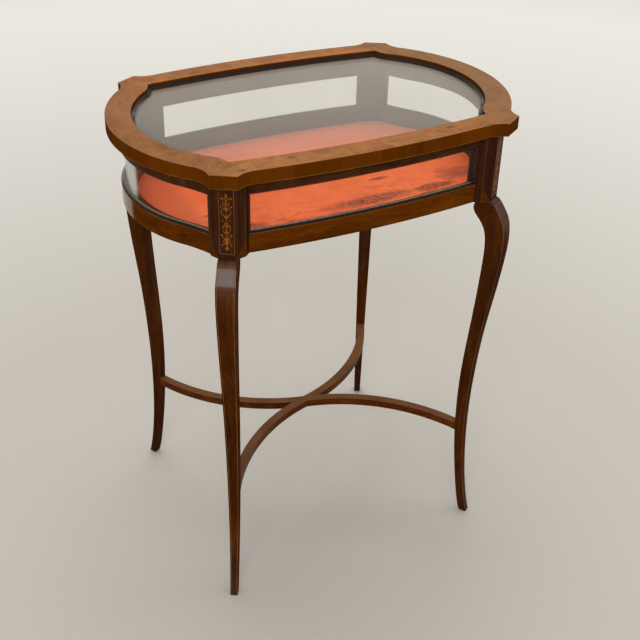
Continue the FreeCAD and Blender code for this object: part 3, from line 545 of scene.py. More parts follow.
@dataclass(frozen=True)
class LidWood:
    """A lid rail: honey veneer on top, dark crossbanding round the edge."""

    name: str
    grain: Grain
    joint_gap: float
    joint_share: float = 0.012
    panel_step: float = 0.381
    line_top: float = 722.1 * MM
    ear_x: float = 205.0 * MM
    ear_y: float = 172.0 * MM
    pale_figure: Colour = (184, 132, 74)
    red_figure: Colour = (160, 96, 60)
    fleck: Colour = (198, 148, 70)
    blot: Colour = (78, 58, 46)
    left_painted_shade: Colour = (112, 76, 46)
    right_painted_sheen: Colour = (110, 90, 62)
    band_brown: Colour = (80, 38, 0)
    band_pale: Colour = (118, 60, 8)
    joint: Colour = (34, 14, 2)
    blots: Tuple[Oval, ...] = (
        (-0.1943, -0.1912, 0.0062, 0.0050), (-0.1187, -0.1798, 0.0095, 0.0052),
        (0.1250, -0.1790, 0.0080, 0.0036), (0.1026, -0.1838, 0.0045, 0.0026),
        (0.2654, -0.0996, 0.0110, 0.0040), (0.1781, -0.1714, 0.0070, 0.0034),
        (-0.2620, 0.1000, 0.0060, 0.0110), (-0.2560, -0.1040, 0.0110, 0.0050))

    def make(self) -> Material:
        """Builds the material.

        Returns:
            The material.
        """
        recipe = Recipe(self.name)
        top, fibre = self.veneer(recipe)
        level = recipe.span(recipe.parts("Normal")[UP], 0.55, 0.75)
        return recipe.polish(recipe.mix(level, self.banding(recipe), top), fibre, 0.4,
                             recipe.span(level, 0.0, 1.0, 0.02, 0.2), relief=0.06)

    def veneer(self, recipe: Recipe) -> Tuple[Socket, Socket]:
        """Builds the top's figure, flecks and blots, and the painted shade and reflection at
        its ends.

        Args:
            recipe: The material being made.

        Returns:
            The colour and the fibre.
        """
        top, fibre = recipe.wood(HONEY, self.grain, size=1.6, shift=0.33)
        cloud = recipe.noise(recipe.plain, 34, 4, 0.6, 1.2)
        top = recipe.mix(recipe.span(cloud, 0.4, 0.72, 0.0, 0.4), top, self.pale_figure)
        blush = recipe.noise(recipe.plain, 21, 2, 0.5)
        top = recipe.mix(recipe.span(blush, 0.45, 0.7, 0.0, 0.4), top, self.red_figure)
        x, y, _ = recipe.parts("Object")
        ear = recipe.calc("SQRT", recipe.squares(
            recipe.calc("SUBTRACT", recipe.calc("ABSOLUTE", x), self.ear_x),
            recipe.calc("SUBTRACT", recipe.calc("ABSOLUTE", y), self.ear_y)))
        fleck = recipe.noise(recipe.place((1, 1, 1), shift=(0.4, 0.1, 0)), 120, 3, 0.6, 1.5)
        fleck = recipe.times(recipe.span(fleck, 0.56, 0.7),
                             recipe.span(ear, 28.0 * MM, 75.0 * MM, 1.0, 0.12), 0.5)
        top = recipe.mix(fleck, top, self.fleck)
        broken = recipe.noise(recipe.plain, 260, 4, 0.7, 2.0)
        blots = recipe.times(recipe.blots(self.blots),
                             recipe.span(broken, 0.42, 0.54, 0.2, 1.0), 0.85)
        top = recipe.mix(blots, top, self.blot)
        # Painted shade and reflection: the left end is mixed towards a darker grey brown and
        # the right end towards a greyer tan, as light and the wall's reflection fall on them.
        left = recipe.span(x, -190.0 * MM, -235.0 * MM, 0.0, 0.4)
        right = recipe.span(x, 160.0 * MM, 235.0 * MM, 0.0, 0.5)
        top = recipe.mix(right, recipe.mix(left, top, self.left_painted_shade), self.right_painted_sheen)
        return top, fibre

    def banding(self, recipe: Recipe) -> Socket:
        """Builds the edge's crossbanding, its joints and the pale line below it.

        Args:
            recipe: The material being made.

        Returns:
            The colour.
        """
        band, _ = recipe.wood(LID_EDGE, Grain.Z, size=0.9, shift=0.12)
        band = recipe.mix(0.55, band, self.band_brown)
        places = recipe.parts("Object")
        run = recipe.calc("DIVIDE", places[self.grain.value], self.joint_gap)
        joint = recipe.calc("LESS_THAN", recipe.calc("FRACT", run), self.joint_share)
        band = recipe.mix(recipe.times(joint, 0.45), band, self.joint)
        panel = recipe.calc("FRACT",
                            recipe.times(recipe.calc("FLOOR", run), self.panel_step))
        band = recipe.mix(recipe.times(panel, 0.3), band, self.band_pale)
        pale, _ = recipe.wood(BOXWOOD, self.grain, LINE_FIGURE)
        line = recipe.calc("LESS_THAN", places[UP], self.line_top)
        return recipe.mix(recipe.times(line, LINE_AMOUNT), band, pale)


@dataclass(frozen=True)
class Ebonised:
    """Black stained beads, brown on their upright faces, with wear and a painted sheen on
    their level tops.
    """

    name: str = "ebonised_bead"
    wear_and_sheen: Colour = (134, 118, 102)
    amount: float = 0.85
    black: Tuple[Colour, Colour] = ((16, 9, 3), (32, 20, 10))
    brown: Tuple[Colour, Colour] = ((34, 17, 9), (60, 34, 21))

    def make(self) -> Material:
        """Builds the material.

        Returns:
            The material.
        """
        recipe = Recipe(self.name)
        grain = recipe.noise(recipe.plain, 300, 4, 0.6)
        black, brown = (recipe.ramp(grain, (0.35, 0.7), pair)
                        for pair in (self.black, self.brown))
        rise = recipe.parts("Normal")[UP]
        level = recipe.span(recipe.calc("ABSOLUTE", rise), 0.1, 0.35)
        # Wear and painted sheen: level tops are mixed towards a pale grey, partly rubbing and
        # partly the light that they reflect.
        wear = recipe.times(recipe.span(rise, 0.78, 0.95, 0.0, self.amount),
                            recipe.span(grain, 0.3, 0.6, 0.5, 1.0))
        colour = recipe.mix(wear, recipe.mix(level, brown, black), self.wear_and_sheen)
        return recipe.set(Base_Color=colour, Specular_IOR_Level=0.14,
                          Roughness=recipe.span(grain, 0.3, 0.7, 0.24, 0.36),
                          Normal=recipe.bump(grain, 0.08, 0.3 * MM),
                          Coat_Weight=recipe.span(recipe.facing(), *EDGE_ON, 0.03, 0.6),
                          Coat_IOR=1.9, Coat_Roughness=0.14)


@dataclass(frozen=True)
class Pane:
    """A glass pane that is clear head on and veiled where it is seen along its face; the
    veil's pale colour is painted reflection.
    """

    name: str
    painted_reflection: Colour
    clear: float
    veiled: float
    turn_low: float
    turn_high: float
    rough: float = 0.02

    def make(self) -> Material:
        """Builds the material.

        Returns:
            The material.
        """
        recipe = Recipe(self.name)
        # Painted reflection: the pane's pale base colour, showing more as the pane turns edge
        # on, stands for the room mirrored in the glass.
        smear = recipe.noise(recipe.plain, 12, 3, 0.5)
        dimmer_reflection = tuple(channel * 0.95 for channel in self.painted_reflection)
        alpha = recipe.span(recipe.facing(), self.turn_low, self.turn_high, self.clear,
                            self.veiled)
        recipe.material.surface_render_method = "BLENDED"
        return recipe.set(Base_Color=recipe.ramp(smear, (0.3, 0.7), (dimmer_reflection, self.painted_reflection)),
                          Roughness=self.rough, Alpha=alpha, IOR=1.5)


@dataclass(frozen=True)
class Metal:
    """Aged cast or drawn metal."""

    name: str
    bright: Colour
    dull: Colour
    rough: float

    def make(self) -> Material:
        """Builds the material.

        Returns:
            The material.
        """
        recipe = Recipe(self.name)
        patina = recipe.noise(recipe.plain, 260, 5, 0.65)
        colour = recipe.ramp(patina, (0.35, 0.6), (self.dull, self.bright))
        rough = recipe.span(patina, 0.3, 0.7, self.rough + 0.15, self.rough)
        return recipe.set(Base_Color=colour, Metallic=1.0, Roughness=rough,
                          Normal=recipe.bump(patina, 0.05, 0.2 * MM))


@dataclass(frozen=True)
class Velvet:
    """Worn velvet with crushed pile, dark specks and stains, and painted shade towards its
    left end.
    """

    name: str = "orange_velvet"
    orange: Tuple[Colour, Colour] = ((236, 92, 34), (248, 114, 54))
    crushed: Colour = (150, 46, 22)
    stained: Colour = (96, 24, 16)
    left_painted_shade: Colour = (150, 52, 16)
    tips: Colour = (246, 160, 120)
    sheen: Colour = (255, 168, 132)
    stains: Tuple[Oval, ...] = (
        (0.150, -0.1130, 0.038, 0.0100), (0.206, -0.0860, 0.040, 0.0260),
        (-0.150, -0.1180, 0.040, 0.0130), (0.045, -0.1150, 0.090, 0.0150),
        (0.092, -0.0560, 0.022, 0.0060), (-0.190, -0.0620, 0.016, 0.0050))

    def make(self) -> Material:
        """Builds the material.

        Returns:
            The material.
        """
        recipe = Recipe(self.name)
        x, y, _ = recipe.parts("Object")
        base = recipe.ramp(recipe.noise(recipe.plain, 9, 3, 0.5), (0.35, 0.65), self.orange)
        region = recipe.noise(recipe.plain, 9, 2, 0.5)
        region = recipe.times(recipe.span(region, 0.4, 0.56, 0.25, 1.0),
                              recipe.span(y, -140.0 * MM, -60.0 * MM, 1.0, 0.3))
        crush = recipe.noise(recipe.place((0.4, 1, 1), (0, 0, 8)), 62, 6, 0.7, 0.9)
        dark = recipe.times(recipe.span(crush, 0.5, 0.62, 0.0, 0.7), region)
        base = recipe.mix(dark, base, self.crushed)
        grit = recipe.noise(recipe.place((0.6, 1, 1), shift=(0.3, 0, 0)), 230, 5, 0.7, 0.6)
        speck = recipe.times(recipe.span(grit, 0.56, 0.63, 0.0, 0.7), region)
        stain = recipe.times(recipe.blots(self.stains),
                             recipe.span(grit, 0.4, 0.56, 0.35, 1.0))
        base = recipe.mix(recipe.most(speck, stain), base, self.stained)
        # Painted shade: towards the left end the velvet is darkened where less light reaches
        # it.
        left = recipe.span(x, -190.0 * MM, -215.0 * MM, 0.0, 0.45)
        base = recipe.mix(left, base, self.left_painted_shade)
        pile = recipe.noise(recipe.plain, 2600, 2, 0.5)
        base = recipe.mix(recipe.span(pile, 0.3, 0.7, 0.0, 0.16), base, self.tips)
        height = recipe.plus(recipe.times(pile, 0.3), crush)
        return recipe.set(Base_Color=base, Roughness=0.85, Specular_IOR_Level=0.15,
                          Normal=recipe.bump(height, 0.35, 0.6 * MM), Sheen_Weight=0.25,
                          Sheen_Roughness=0.4, Sheen_Tint=linear(self.sheen))


# ---- modelling in Blender


class Bench:
    """Calls for modelling with operators."""

    @staticmethod
    def clear() -> None:
        """Deselects every object."""
        bpy.ops.object.select_all(action="DESELECT")

    @staticmethod
    def only(piece: Piece) -> None:
        """Selects one piece alone.

        Args:
            piece: The piece.
        """
        Bench.clear()
        piece.select_set(True)
        bpy.context.view_layer.objects.active = piece

    @staticmethod
    def edit(piece: Piece) -> None:
        """Enters edit mode with all faces of one piece selected.

        Args:
            piece: The piece.
        """
        Bench.only(piece)
        bpy.ops.object.mode_set(mode="EDIT")
        bpy.ops.mesh.select_mode(type="FACE")
        bpy.ops.mesh.select_all(action="SELECT")

    @staticmethod
    def done() -> None:
        """Leaves edit mode."""
        bpy.ops.object.mode_set(mode="OBJECT")

    @staticmethod
    def pick(piece: Piece, test: FaceTest) -> None:
        """Enters edit mode with the faces selected that pass a test.

        Args:
            piece: The piece.
            test: Takes a face's middle and normal.
        """
        Bench.edit(piece)
        bpy.ops.mesh.select_all(action="DESELECT")
        Bench.done()
        for face in piece.data.polygons:
            face.select = test(face.center, face.normal)
        bpy.ops.object.mode_set(mode="EDIT")

    @staticmethod
    def keep_faces(piece: Piece, test: FaceTest) -> None:
        """Deletes the faces that fail a test.

        Args:
            piece: The piece.
            test: Takes a face's middle and normal.
        """
        Bench.pick(piece, lambda middle, normal: not test(middle, normal))
        bpy.ops.mesh.delete(type="FACE")
        Bench.done()

    @staticmethod
    def twin(source: Piece, name: str) -> Piece:
        """Copies a piece with its own mesh.

        Args:
            source: The piece or solid to copy.
            name: The copy's name.

        Returns:
            The copy.
        """
        piece = bpy.data.objects.new(name, source.data.copy())
        bpy.context.scene.collection.objects.link(piece)
        return piece

    @staticmethod
    def copy(node: str, name: str) -> Piece:
        """Copies a solid's mesh and merges its loose triangles.

        Args:
            node: The solid's name.
            name: The new piece's name.

        Returns:
            The new piece.
        """
        piece = Bench.twin(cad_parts[node], name)
        piece.data.materials.clear()
        Bench.edit(piece)
        bpy.ops.mesh.remove_doubles(threshold=0.01 * MM)
        Bench.done()
        return piece

    @staticmethod
    def plane(name: str, width: float, height: float, middle: float = 0.0) -> Piece:
        """Adds a flat rectangle.

        Args:
            name: Its name.
            width, height: Its sides, in metres.
            middle: Its middle's place along y.

        Returns:
            The rectangle.
        """
        Bench.clear()
        bpy.ops.mesh.primitive_plane_add(size=1, location=(0, middle, 0))
        piece = bpy.context.object
        piece.name = name
        piece.scale = (width, height, 1)
        Bench.settle(piece)
        return piece

    @staticmethod
    def ring(piece: Piece, width: float) -> None:
        """Leaves only a line along the edge of a flat piece.

        Args:
            piece: The flat piece.
            width: The line's width.
        """
        Bench.edit(piece)
        bpy.ops.mesh.inset(thickness=width, depth=0, use_even_offset=True)
        bpy.ops.mesh.delete(type="FACE")
        Bench.done()

    @staticmethod
    def thicken(piece: Piece, proud: float, sunk: float) -> None:
        """Gives a flat piece its thickness.

        Args:
            piece: The flat piece.
            proud: How much of it stands on the normal's side.
            sunk: How much of it lies on the other side.
        """
        wall = piece.modifiers.new("thickness", "SOLIDIFY")
        wall.thickness = proud + sunk
        wall.offset = (proud - sunk) / (proud + sunk)
        wall.use_even_offset = True
        Bench.only(piece)
        bpy.ops.object.modifier_apply(modifier="thickness")

    @staticmethod
    def settle(piece: Piece) -> None:
        """Puts the piece's place into its mesh."""
        Bench.only(piece)
        bpy.ops.object.transform_apply(location=True, rotation=True, scale=True)

    @staticmethod
    def join(pieces: List[Piece], name: str) -> Piece:
        """Joins pieces into one.

        Args:
            pieces: The pieces.
            name: The joined piece's name.

        Returns:
            The joined piece.
        """
        Bench.clear()
        for piece in pieces:
            piece.select_set(True)
        bpy.context.view_layer.objects.active = pieces[0]
        bpy.ops.object.join()
        pieces[0].name = name
        return pieces[0]

    @staticmethod
    def dress(piece: Piece, material: Material, body: Body, slot: str) -> None:
        """Gives a new piece its finish and its body.

        Args:
            piece: The piece.
            material: Its finish.
            body: The body that it rides on.
            slot: Not used.
        """
        piece.data.materials.clear()
        piece.data.materials.append(material)
        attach(piece, body.value)
        LOG.info("piece %s on %s", piece.name, body.value)


def finish_node(name: str, material: Material) -> None:
    """Gives a solid its finish.

    Args:
        name: The solid's name.
        material: The finish.
    """
    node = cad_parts[name]
    node.data.materials.clear()
    node.data.materials.append(material)
    LOG.info("node %s wears %s", name, material.name)


@dataclass(frozen=True)
class Corner:
    """One canted corner of the table."""

    name: str
    sx: int
    sy: int
    face_x: float = 214.3 * MM
    face_y: float = 181.1 * MM
    angle: float = 58.1

    def face(self) -> Vector:
        """Direction that the canted face looks in."""
        turn = math.radians(self.angle)
        return Vector((self.sx * math.cos(turn), self.sy * math.sin(turn), 0))

    def along(self) -> Vector:
        """Level direction that the canted face runs in."""
        face = self.face()
        return Vector((-face.y, face.x, 0))

    def place(self, lift: float, height: float) -> Matrix:
        """Works out where a flat drawing stands on the canted face.

        Args:
            lift: How far it stands off the face.
            height: Height of its middle.

        Returns:
            The drawing's matrix.
        """
        face = self.face()
        matrix = Matrix((self.along(), (0, 0, 1), face)).transposed().to_4x4()
        matrix.translation = face * lift + Vector(
            (self.sx * self.face_x, self.sy * self.face_y, height))
        return matrix


CORNERS = [Corner("front_left", -1, -1), Corner("front_right", 1, -1),
           Corner("back_left", -1, 1), Corner("back_right", 1, 1)]


# ---- sub-assemblies


@dataclass
class Stand:
    """The cabriole legs with their boxwood lines, and the cross stretcher."""

    margin: float = 1.5 * MM
    line: float = 1.0 * MM
    line_top: float = 605.5 * MM
    line_foot: float = 4.0 * MM
    leg_top: float = 611.0 * MM
    strip: float = 20.0 * MM
    proud: float = 0.12 * MM
    sunk: float = 0.3 * MM

    def dress(self) -> None:
        """Finishes the legs and the stretcher."""
        leg = LegWood().make()
        arm = StretcherWood().make()
        for corner in CORNERS:
            finish_node("leg_" + corner.name, leg)
        for name in ("stretcher_front_left_back_right", "stretcher_front_right_back_left"):
            finish_node(name, arm)

    def measure(self, corner: Corner) -> Tuple[List[Triple], float]:
        """Measures a leg's outer face.

        Args:
            corner: The leg's corner.

        Returns:
            Height, half width and reach along the corner's direction, from the foot up,
            and where the face's middle lies along it.
        """
        face, along = corner.face(), corner.along()
        piece = Bench.copy("leg_" + corner.name, "leg_face")
        Bench.keep_faces(piece, lambda spot, normal: normal.dot(face) > 0.3
                         and abs(normal.dot(along)) < 0.4 and spot.z < self.leg_top)
        counts: Dict[Tuple[int, int], int] = {}
        for polygon in piece.data.polygons:
            for key in polygon.edge_keys:
                counts[key] = counts.get(key, 0) + 1
        rim = {index for key, count in counts.items() if count == 1 for index in key}
        spots = [piece.data.vertices[index].co.copy() for index in rim]
        runs = [spot.dot(along) for spot in spots]
        middle = (min(runs) + max(runs)) / 2
        rows = sorted((spot.z, run - middle, spot.dot(face))
                      for spot, run in zip(spots, runs) if run > middle)
        bpy.data.objects.remove(piece, do_unlink=True)
        return rows, middle

    @staticmethod
    def between(rows: List[Triple], height: float) -> Tuple[float, float]:
        """Reads the outer face at a height.

        Args:
            rows: The measured rows, from the foot up.
            height: The height.

        Returns:
            The half width and the reach there.
        """
        for (low, half, out), (high, next_half, next_out) in zip(rows, rows[1:]):
            if height <= high and high > low:
                part = max(0.0, (height - low) / (high - low))
                return half + (next_half - half) * part, out + (next_out - out) * part
        return rows[-1][1], rows[-1][2]

    def lines(self, boxwood: Material) -> None:
        """Lets the boxwood lines into the outer face of each leg.

        Args:
            boxwood: The lines' finish.
        """
        for corner in CORNERS:
            rows, middle = self.measure(corner)
            face, along = corner.face(), corner.along()
            piece = Bench.plane("leg_lines_" + corner.name, self.strip, self.line_top,
                                self.line_top / 2)
            Bench.edit(piece)
            for height, _, _ in rows:
                if MM < height < self.line_top - MM:
                    bpy.ops.mesh.select_all(action="SELECT")
                    bpy.ops.mesh.bisect(plane_co=(0, height, 0), plane_no=(0, 1, 0))
            Bench.done()
            for point in piece.data.vertices:
                half, _ = self.between(rows, point.co.y)
                point.co.x = math.copysign(half - self.margin, point.co.x)
            Bench.ring(piece, self.line)
            Bench.edit(piece)
            bpy.ops.mesh.bisect(plane_co=(0, self.line_foot, 0), plane_no=(0, -1, 0),
                                use_fill=False, clear_outer=True)
            Bench.done()
            for point in piece.data.vertices:
                _, out = self.between(rows, point.co.y)
                spot = face * out + along * (middle + point.co.x)
                point.co = (spot.x, spot.y, point.co.y)
            Bench.edit(piece)
            bpy.ops.mesh.normals_make_consistent(inside=False)
            Bench.done()
            if sum(polygon.normal.dot(face) for polygon in piece.data.polygons) < 0:
                piece.data.flip_normals()
            Bench.thicken(piece, self.proud, self.sunk)
            Bench.dress(piece, boxwood, Body.CASE, "marquetry")


@dataclass
class Ornament:
    """The arabesque let into a canted face, drawn flat and set on each corner."""

    middle: float = 665.8 * MM
    proud: float = 0.12 * MM
    thick: float = 0.3 * MM
    frame_width: float = 20.6 * MM
    frame_height: float = 98.4 * MM
    frame_middle: float = 667.8 * MM
    frame_back: float = 0.01 * MM
    line: float = 0.8 * MM
    scroll_line: float = 0.55 * MM
    leaf_round: float = 0.72
    leaf_point: float = 1.39
    # Leaves: across, up, half width, half length (all mm) and lean in degrees.
    leaves: Tuple[Tuple[float, ...], ...] = (
        (0.0, 37.5, 1.7, 5.0, 0.0), (0.0, 29.0, 1.5, 5.5, 0.0),
        (2.6, 33.5, 0.8, 2.8, -38.0), (2.9, 26.0, 0.9, 3.2, -52.0),
        (2.2, 20.5, 0.8, 3.0, -35.0), (0.0, 19.5, 1.3, 6.0, 0.0),
        (2.6, 9.0, 1.0, 4.6, -32.0), (5.0, 12.6, 0.7, 2.2, -80.0),
        (0.0, 7.5, 1.1, 7.0, 0.0), (0.0, -3.5, 3.4, 5.2, 0.0),
        (3.4, -4.6, 1.2, 3.4, 42.0), (5.2, -7.4, 0.7, 2.0, 80.0),
        (0.0, -14.0, 1.4, 8.0, 0.0), (2.8, -14.6, 0.8, 3.2, -50.0),
        (0.0, -27.0, 1.9, 8.5, 0.0), (2.9, -24.8, 0.8, 3.6, 36.0),
        (3.0, -31.0, 0.8, 3.4, -40.0), (0.0, -38.2, 2.9, 3.6, 0.0))
    # Berries and scrolls: across, up and radius (all mm).
    berries: Tuple[Triple, ...] = (
        (6.2, 34.6, 1.5), (6.6, 23.0, 1.2), (6.9, 15.4, 1.0), (6.2, -18.4, 1.5),
        (6.0, -33.4, 1.5), (4.3, 29.5, 0.7), (4.6, -28.0, 0.7))
    scrolls: Tuple[Triple, ...] = (
        (4.4, 18.6, 1.9), (4.6, 2.6, 1.8), (4.4, -10.8, 1.7), (4.5, -21.6, 1.8))

    def leaf(self, across: float, up: float, wide: float, long: float,
             lean: float) -> Piece:
        """Draws one pointed leaf.

        Args:
            across, up: Its place from the drawing's middle, in millimetres.
            wide, long: Its half width and half length, in millimetres.
            lean: Its turn from upright, in degrees.

        Returns:
            The flat leaf.
        """
        bpy.ops.mesh.primitive_circle_add(vertices=14, radius=1.0, fill_type="NGON")
        piece = bpy.context.object
        piece.scale = (wide * MM, long * MM * self.leaf_round, 1)
        Bench.settle(piece)
        for point in piece.data.vertices:
            if abs(point.co.x) < 1e-7:
                point.co.y *= self.leaf_point
        piece.rotation_euler = (0, 0, math.radians(lean))
        piece.location = (across * MM, up * MM, 0)
        Bench.settle(piece)
        return piece

    @staticmethod
    def disc(across: float, up: float, radius: float, corners: int = 18) -> Piece:
        """Draws a round berry, or the disc that a scroll starts from.

        Args:
            across, up: Its place from the drawing's middle, in millimetres.
            radius: Its radius in millimetres.
            corners: How many corners its outline has.

        Returns:
            The flat disc.
        """
        bpy.ops.mesh.primitive_circle_add(vertices=corners, radius=radius * MM,
                                          fill_type="NGON",
                                          location=(across * MM, up * MM, 0))
        piece = bpy.context.object
        Bench.settle(piece)
        return piece

    def scroll(self, across: float, up: float, radius: float) -> Piece:
        """Draws an open scroll: three quarters of a thin ring.

        Args:
            across, up: Its place from the drawing's middle, in millimetres.
            radius: Its radius in millimetres.

        Returns:
            The flat scroll.
        """
        piece = self.disc(across, up, radius, 28)
        Bench.edit(piece)
        bpy.ops.mesh.inset(thickness=self.scroll_line, depth=0)
        bpy.ops.mesh.delete(type="FACE")
        Bench.done()
        Bench.keep_faces(piece, lambda middle, normal: not (
            middle.x < (across - radius * 0.3) * MM and middle.y < up * MM))
        return piece

    def drawing(self) -> Piece:
        """Draws the whole ornament, symmetric about its middle line.

        Returns:
            The ornament, lying flat.
        """
        Bench.clear()
        parts = []
        for side in (1, -1):
            for across, up, wide, long, lean in self.leaves:
                if side > 0 or across > 0:
                    parts.append(self.leaf(side * across, up, wide, long, side * lean))
            for across, up, radius in self.berries:
                parts.append(self.disc(side * across, up, radius))
            for across, up, radius in self.scrolls:
                piece = self.scroll(across, up, radius)
                piece.scale = (side, 1, 1)
                Bench.settle(piece)
                parts.append(piece)
        piece = Bench.join(parts, "ornament_drawing")
        Bench.pick(piece, lambda middle, normal: normal.z < 0)
        bpy.ops.mesh.flip_normals()
        bpy.ops.mesh.select_all(action="SELECT")
        bpy.ops.mesh.extrude_region_move(
            TRANSFORM_OT_translate={"value": (0, 0, self.thick)})
        bpy.ops.mesh.select_all(action="SELECT")
        bpy.ops.mesh.normals_make_consistent(inside=False)
        Bench.done()
        return piece

    def border(self) -> Piece:
        """Draws the line that frames the panel.

        Returns:
            The line, lying flat.
        """
        piece = Bench.plane("border_drawing", self.frame_width, self.frame_height)
        Bench.ring(piece, self.line)
        Bench.thicken(piece, self.thick, self.frame_back)
        return piece

    def place(self, drawing: Piece, corner: Corner, name: str, middle: float,
              material: Material) -> None:
        """Sets a copy of a drawing on a corner's canted face.

        Args:
            drawing: The flat drawing.
            corner: The corner.
            name: The copy's name.
            middle: Height of its middle.
            material: Its finish.
        """
        piece = Bench.twin(drawing, name)
        piece.matrix_world = corner.place(self.proud - self.thick, middle)
        Bench.settle(piece)
        Bench.dress(piece, material, Body.CASE, "marquetry")

    def build(self, gilded: Material, boxwood: Material) -> None:
        """Sets the ornament and its border on all four corners.

        Args:
            gilded: The ornament's finish.
            boxwood: The border's finish.
        """
        drawing = self.drawing()
        border = self.border()
        for corner in CORNERS:
            self.place(drawing, corner, "marquetry_" + corner.name, self.middle, gilded)
            self.place(border, corner, "panel_line_" + corner.name, self.frame_middle,
                       boxwood)
        for spare in (drawing, border):
            bpy.data.objects.remove(spare, do_unlink=True)


@dataclass
class Case:
    """Posts, rails, panes and beads of the case, with its floor and lining."""

    lining_top: float = 616.3 * MM
    lining_thick: float = 1.4 * MM
    lining_step: float = 9.0 * MM
    ripple: float = 0.28 * MM

    def dress(self) -> None:
        """Finishes the case's solids."""
        rails = {Grain.X: RailWood("rail_wood_long", Grain.X).make(),
                 Grain.Y: RailWood("rail_wood_end", Grain.Y).make()}
        post = PostWood().make()
        bead = Ebonised().make()
        pane = Pane("case_glass", painted_reflection=(214, 216, 208), clear=0.015, veiled=0.55,
                    turn_low=0.655, turn_high=0.7).make()
        ground = PolishedWood("panel_ground", ROSEWOOD, Grain.Z, size=0.7, gloss=0.38,
                              coat=0.03, shift=0.6).make()
        pine = PolishedWood("floor_pine", PINE, Grain.X, size=2.0, gloss=0.6,
                            coat=0.0).make()
        top = PolishedWood("top_rail_wood", TOP_RAIL_WOOD, Grain.X, gloss=0.36, coat=0.02,
                           shift=0.5).make()
        for side, grain in SIDES.items():
            finish_node("case_%s_bottom_rail" % side, rails[grain])
            finish_node("case_%s_top_rail" % side, top)
            finish_node("case_%s_glass" % side, pane)
            finish_node("case_%s_beads" % side, bead)
        for corner in CORNERS:
            finish_node("post_" + corner.name, post)
            finish_node("panel_" + corner.name, ground)
        finish_node("floor_board", pine)

    @staticmethod
    def wave(x: float, y: float) -> float:
        """Height of the lining's ripple, from -1 to 1."""
        return math.sin(x * 61 + math.sin(y * 37)) * math.sin(y * 83 + 1.3 * math.sin(x * 29))

    def divide(self, low: Sequence[float], high: Sequence[float]) -> None:
        """Cuts the sheet in edit mode into small fields.

        Args:
            low: The sheet's lowest corner.
            high: Its highest corner.
        """
        for axis in (0, 1):
            count = int((high[axis] - low[axis]) / self.lining_step)
            for index in range(1, count + 1):
                point, normal = [0.0, 0.0, 0.0], [0.0, 0.0, 0.0]
                point[axis] = low[axis] + index * (high[axis] - low[axis]) / (count + 1)
                normal[axis] = 1.0
                bpy.ops.mesh.select_all(action="SELECT")
                bpy.ops.mesh.bisect(plane_co=point, plane_no=normal, use_fill=False)

    def lining(self) -> None:
        """Lays the velvet on the floor: one cloth, cut to the case, a little rippled."""
        piece = Bench.copy("velvet_lining", "velvet_cloth")
        Bench.keep_faces(piece, lambda middle, normal: normal.z > 0.9)
        low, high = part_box("velvet_lining")
        Bench.edit(piece)
        bpy.ops.mesh.dissolve_limited(angle_limit=math.radians(1))
        self.divide(low, high)
        Bench.done()
        for point in piece.data.vertices:
            point.co.z = (self.lining_top - self.ripple
                          + self.ripple * self.wave(point.co.x, point.co.y))
        Bench.thicken(piece, 0.0, self.lining_thick)
        Bench.only(piece)
        bpy.ops.object.shade_smooth_by_angle(angle=math.radians(40))
        Bench.dress(piece, Velvet().make(), Body.CASE, "velvet")
        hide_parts("velvet_lining")


@dataclass
class Lid:
    """The hinged lid: mitred frame, beads and pane."""

    long_joint: float = 63.0 * MM
    end_joint: float = 47.0 * MM

    def dress(self) -> None:
        """Finishes the lid's solids."""
        rails = {Grain.X: LidWood("lid_wood_long", Grain.X, self.long_joint).make(),
                 Grain.Y: LidWood("lid_wood_end", Grain.Y, self.end_joint).make()}
        bead = Ebonised("lid_bead_black", wear_and_sheen=(34, 27, 23), amount=0.4).make()
        pane = Pane("lid_glass_veiled", painted_reflection=(192, 187, 176), clear=0.1, veiled=0.38,
                    turn_low=0.56, turn_high=0.72, rough=0.03).make()
        for side, grain in SIDES.items():
            finish_node("lid_%s_rail" % side, rails[grain])
            finish_node("lid_%s_bead" % side, bead)
        finish_node("lid_glass", pane)


@dataclass
class Hardware:
    """Hinges, lock, striker and screws."""

    brass_nodes: Tuple[str, ...] = (
        "hinge_left_case_leaf", "hinge_left_lid_leaf", "hinge_left_pin",
        "hinge_right_case_leaf", "hinge_right_lid_leaf", "hinge_right_pin", "lock_case",
        "striker_plate")
    steel_nodes: Tuple[str, ...] = (
        "lock_bolt", "lock_screws", "striker_screws", "hinge_case_screws",
        "hinge_lid_screws", "floor_screws")

    def dress(self) -> None:
        """Finishes the metal parts."""
        brass = Metal("aged_brass", bright=(206, 168, 96), dull=(132, 98, 48),
                      rough=0.28).make()
        steel = Metal("screw_steel", bright=(150, 146, 138), dull=(92, 86, 78),
                      rough=0.32).make()
        for name in self.brass_nodes:
            finish_node(name, brass)
        for name in self.steel_nodes:
            finish_node(name, steel)


# ---- studio


@dataclass(frozen=True)
class Lamp:
    """One soft square lamp."""

    name: str
    place: Triple
    size: float
    power: float
    tint: Colour

    def hang(self, target: Sequence[float]) -> None:
        """Hangs the lamp.

        Args:
            target: What it points at.
        """
        Bench.clear()
        bpy.ops.object.light_add(type="AREA", location=self.place)
        lamp = bpy.context.object
        lamp.name = self.name
        lamp.data.size = self.size
        lamp.data.energy = self.power
        lamp.data.color = self.tint
        way = Vector(target) - Vector(self.place)
        lamp.rotation_euler = way.to_track_quat("-Z", "Y").to_euler()


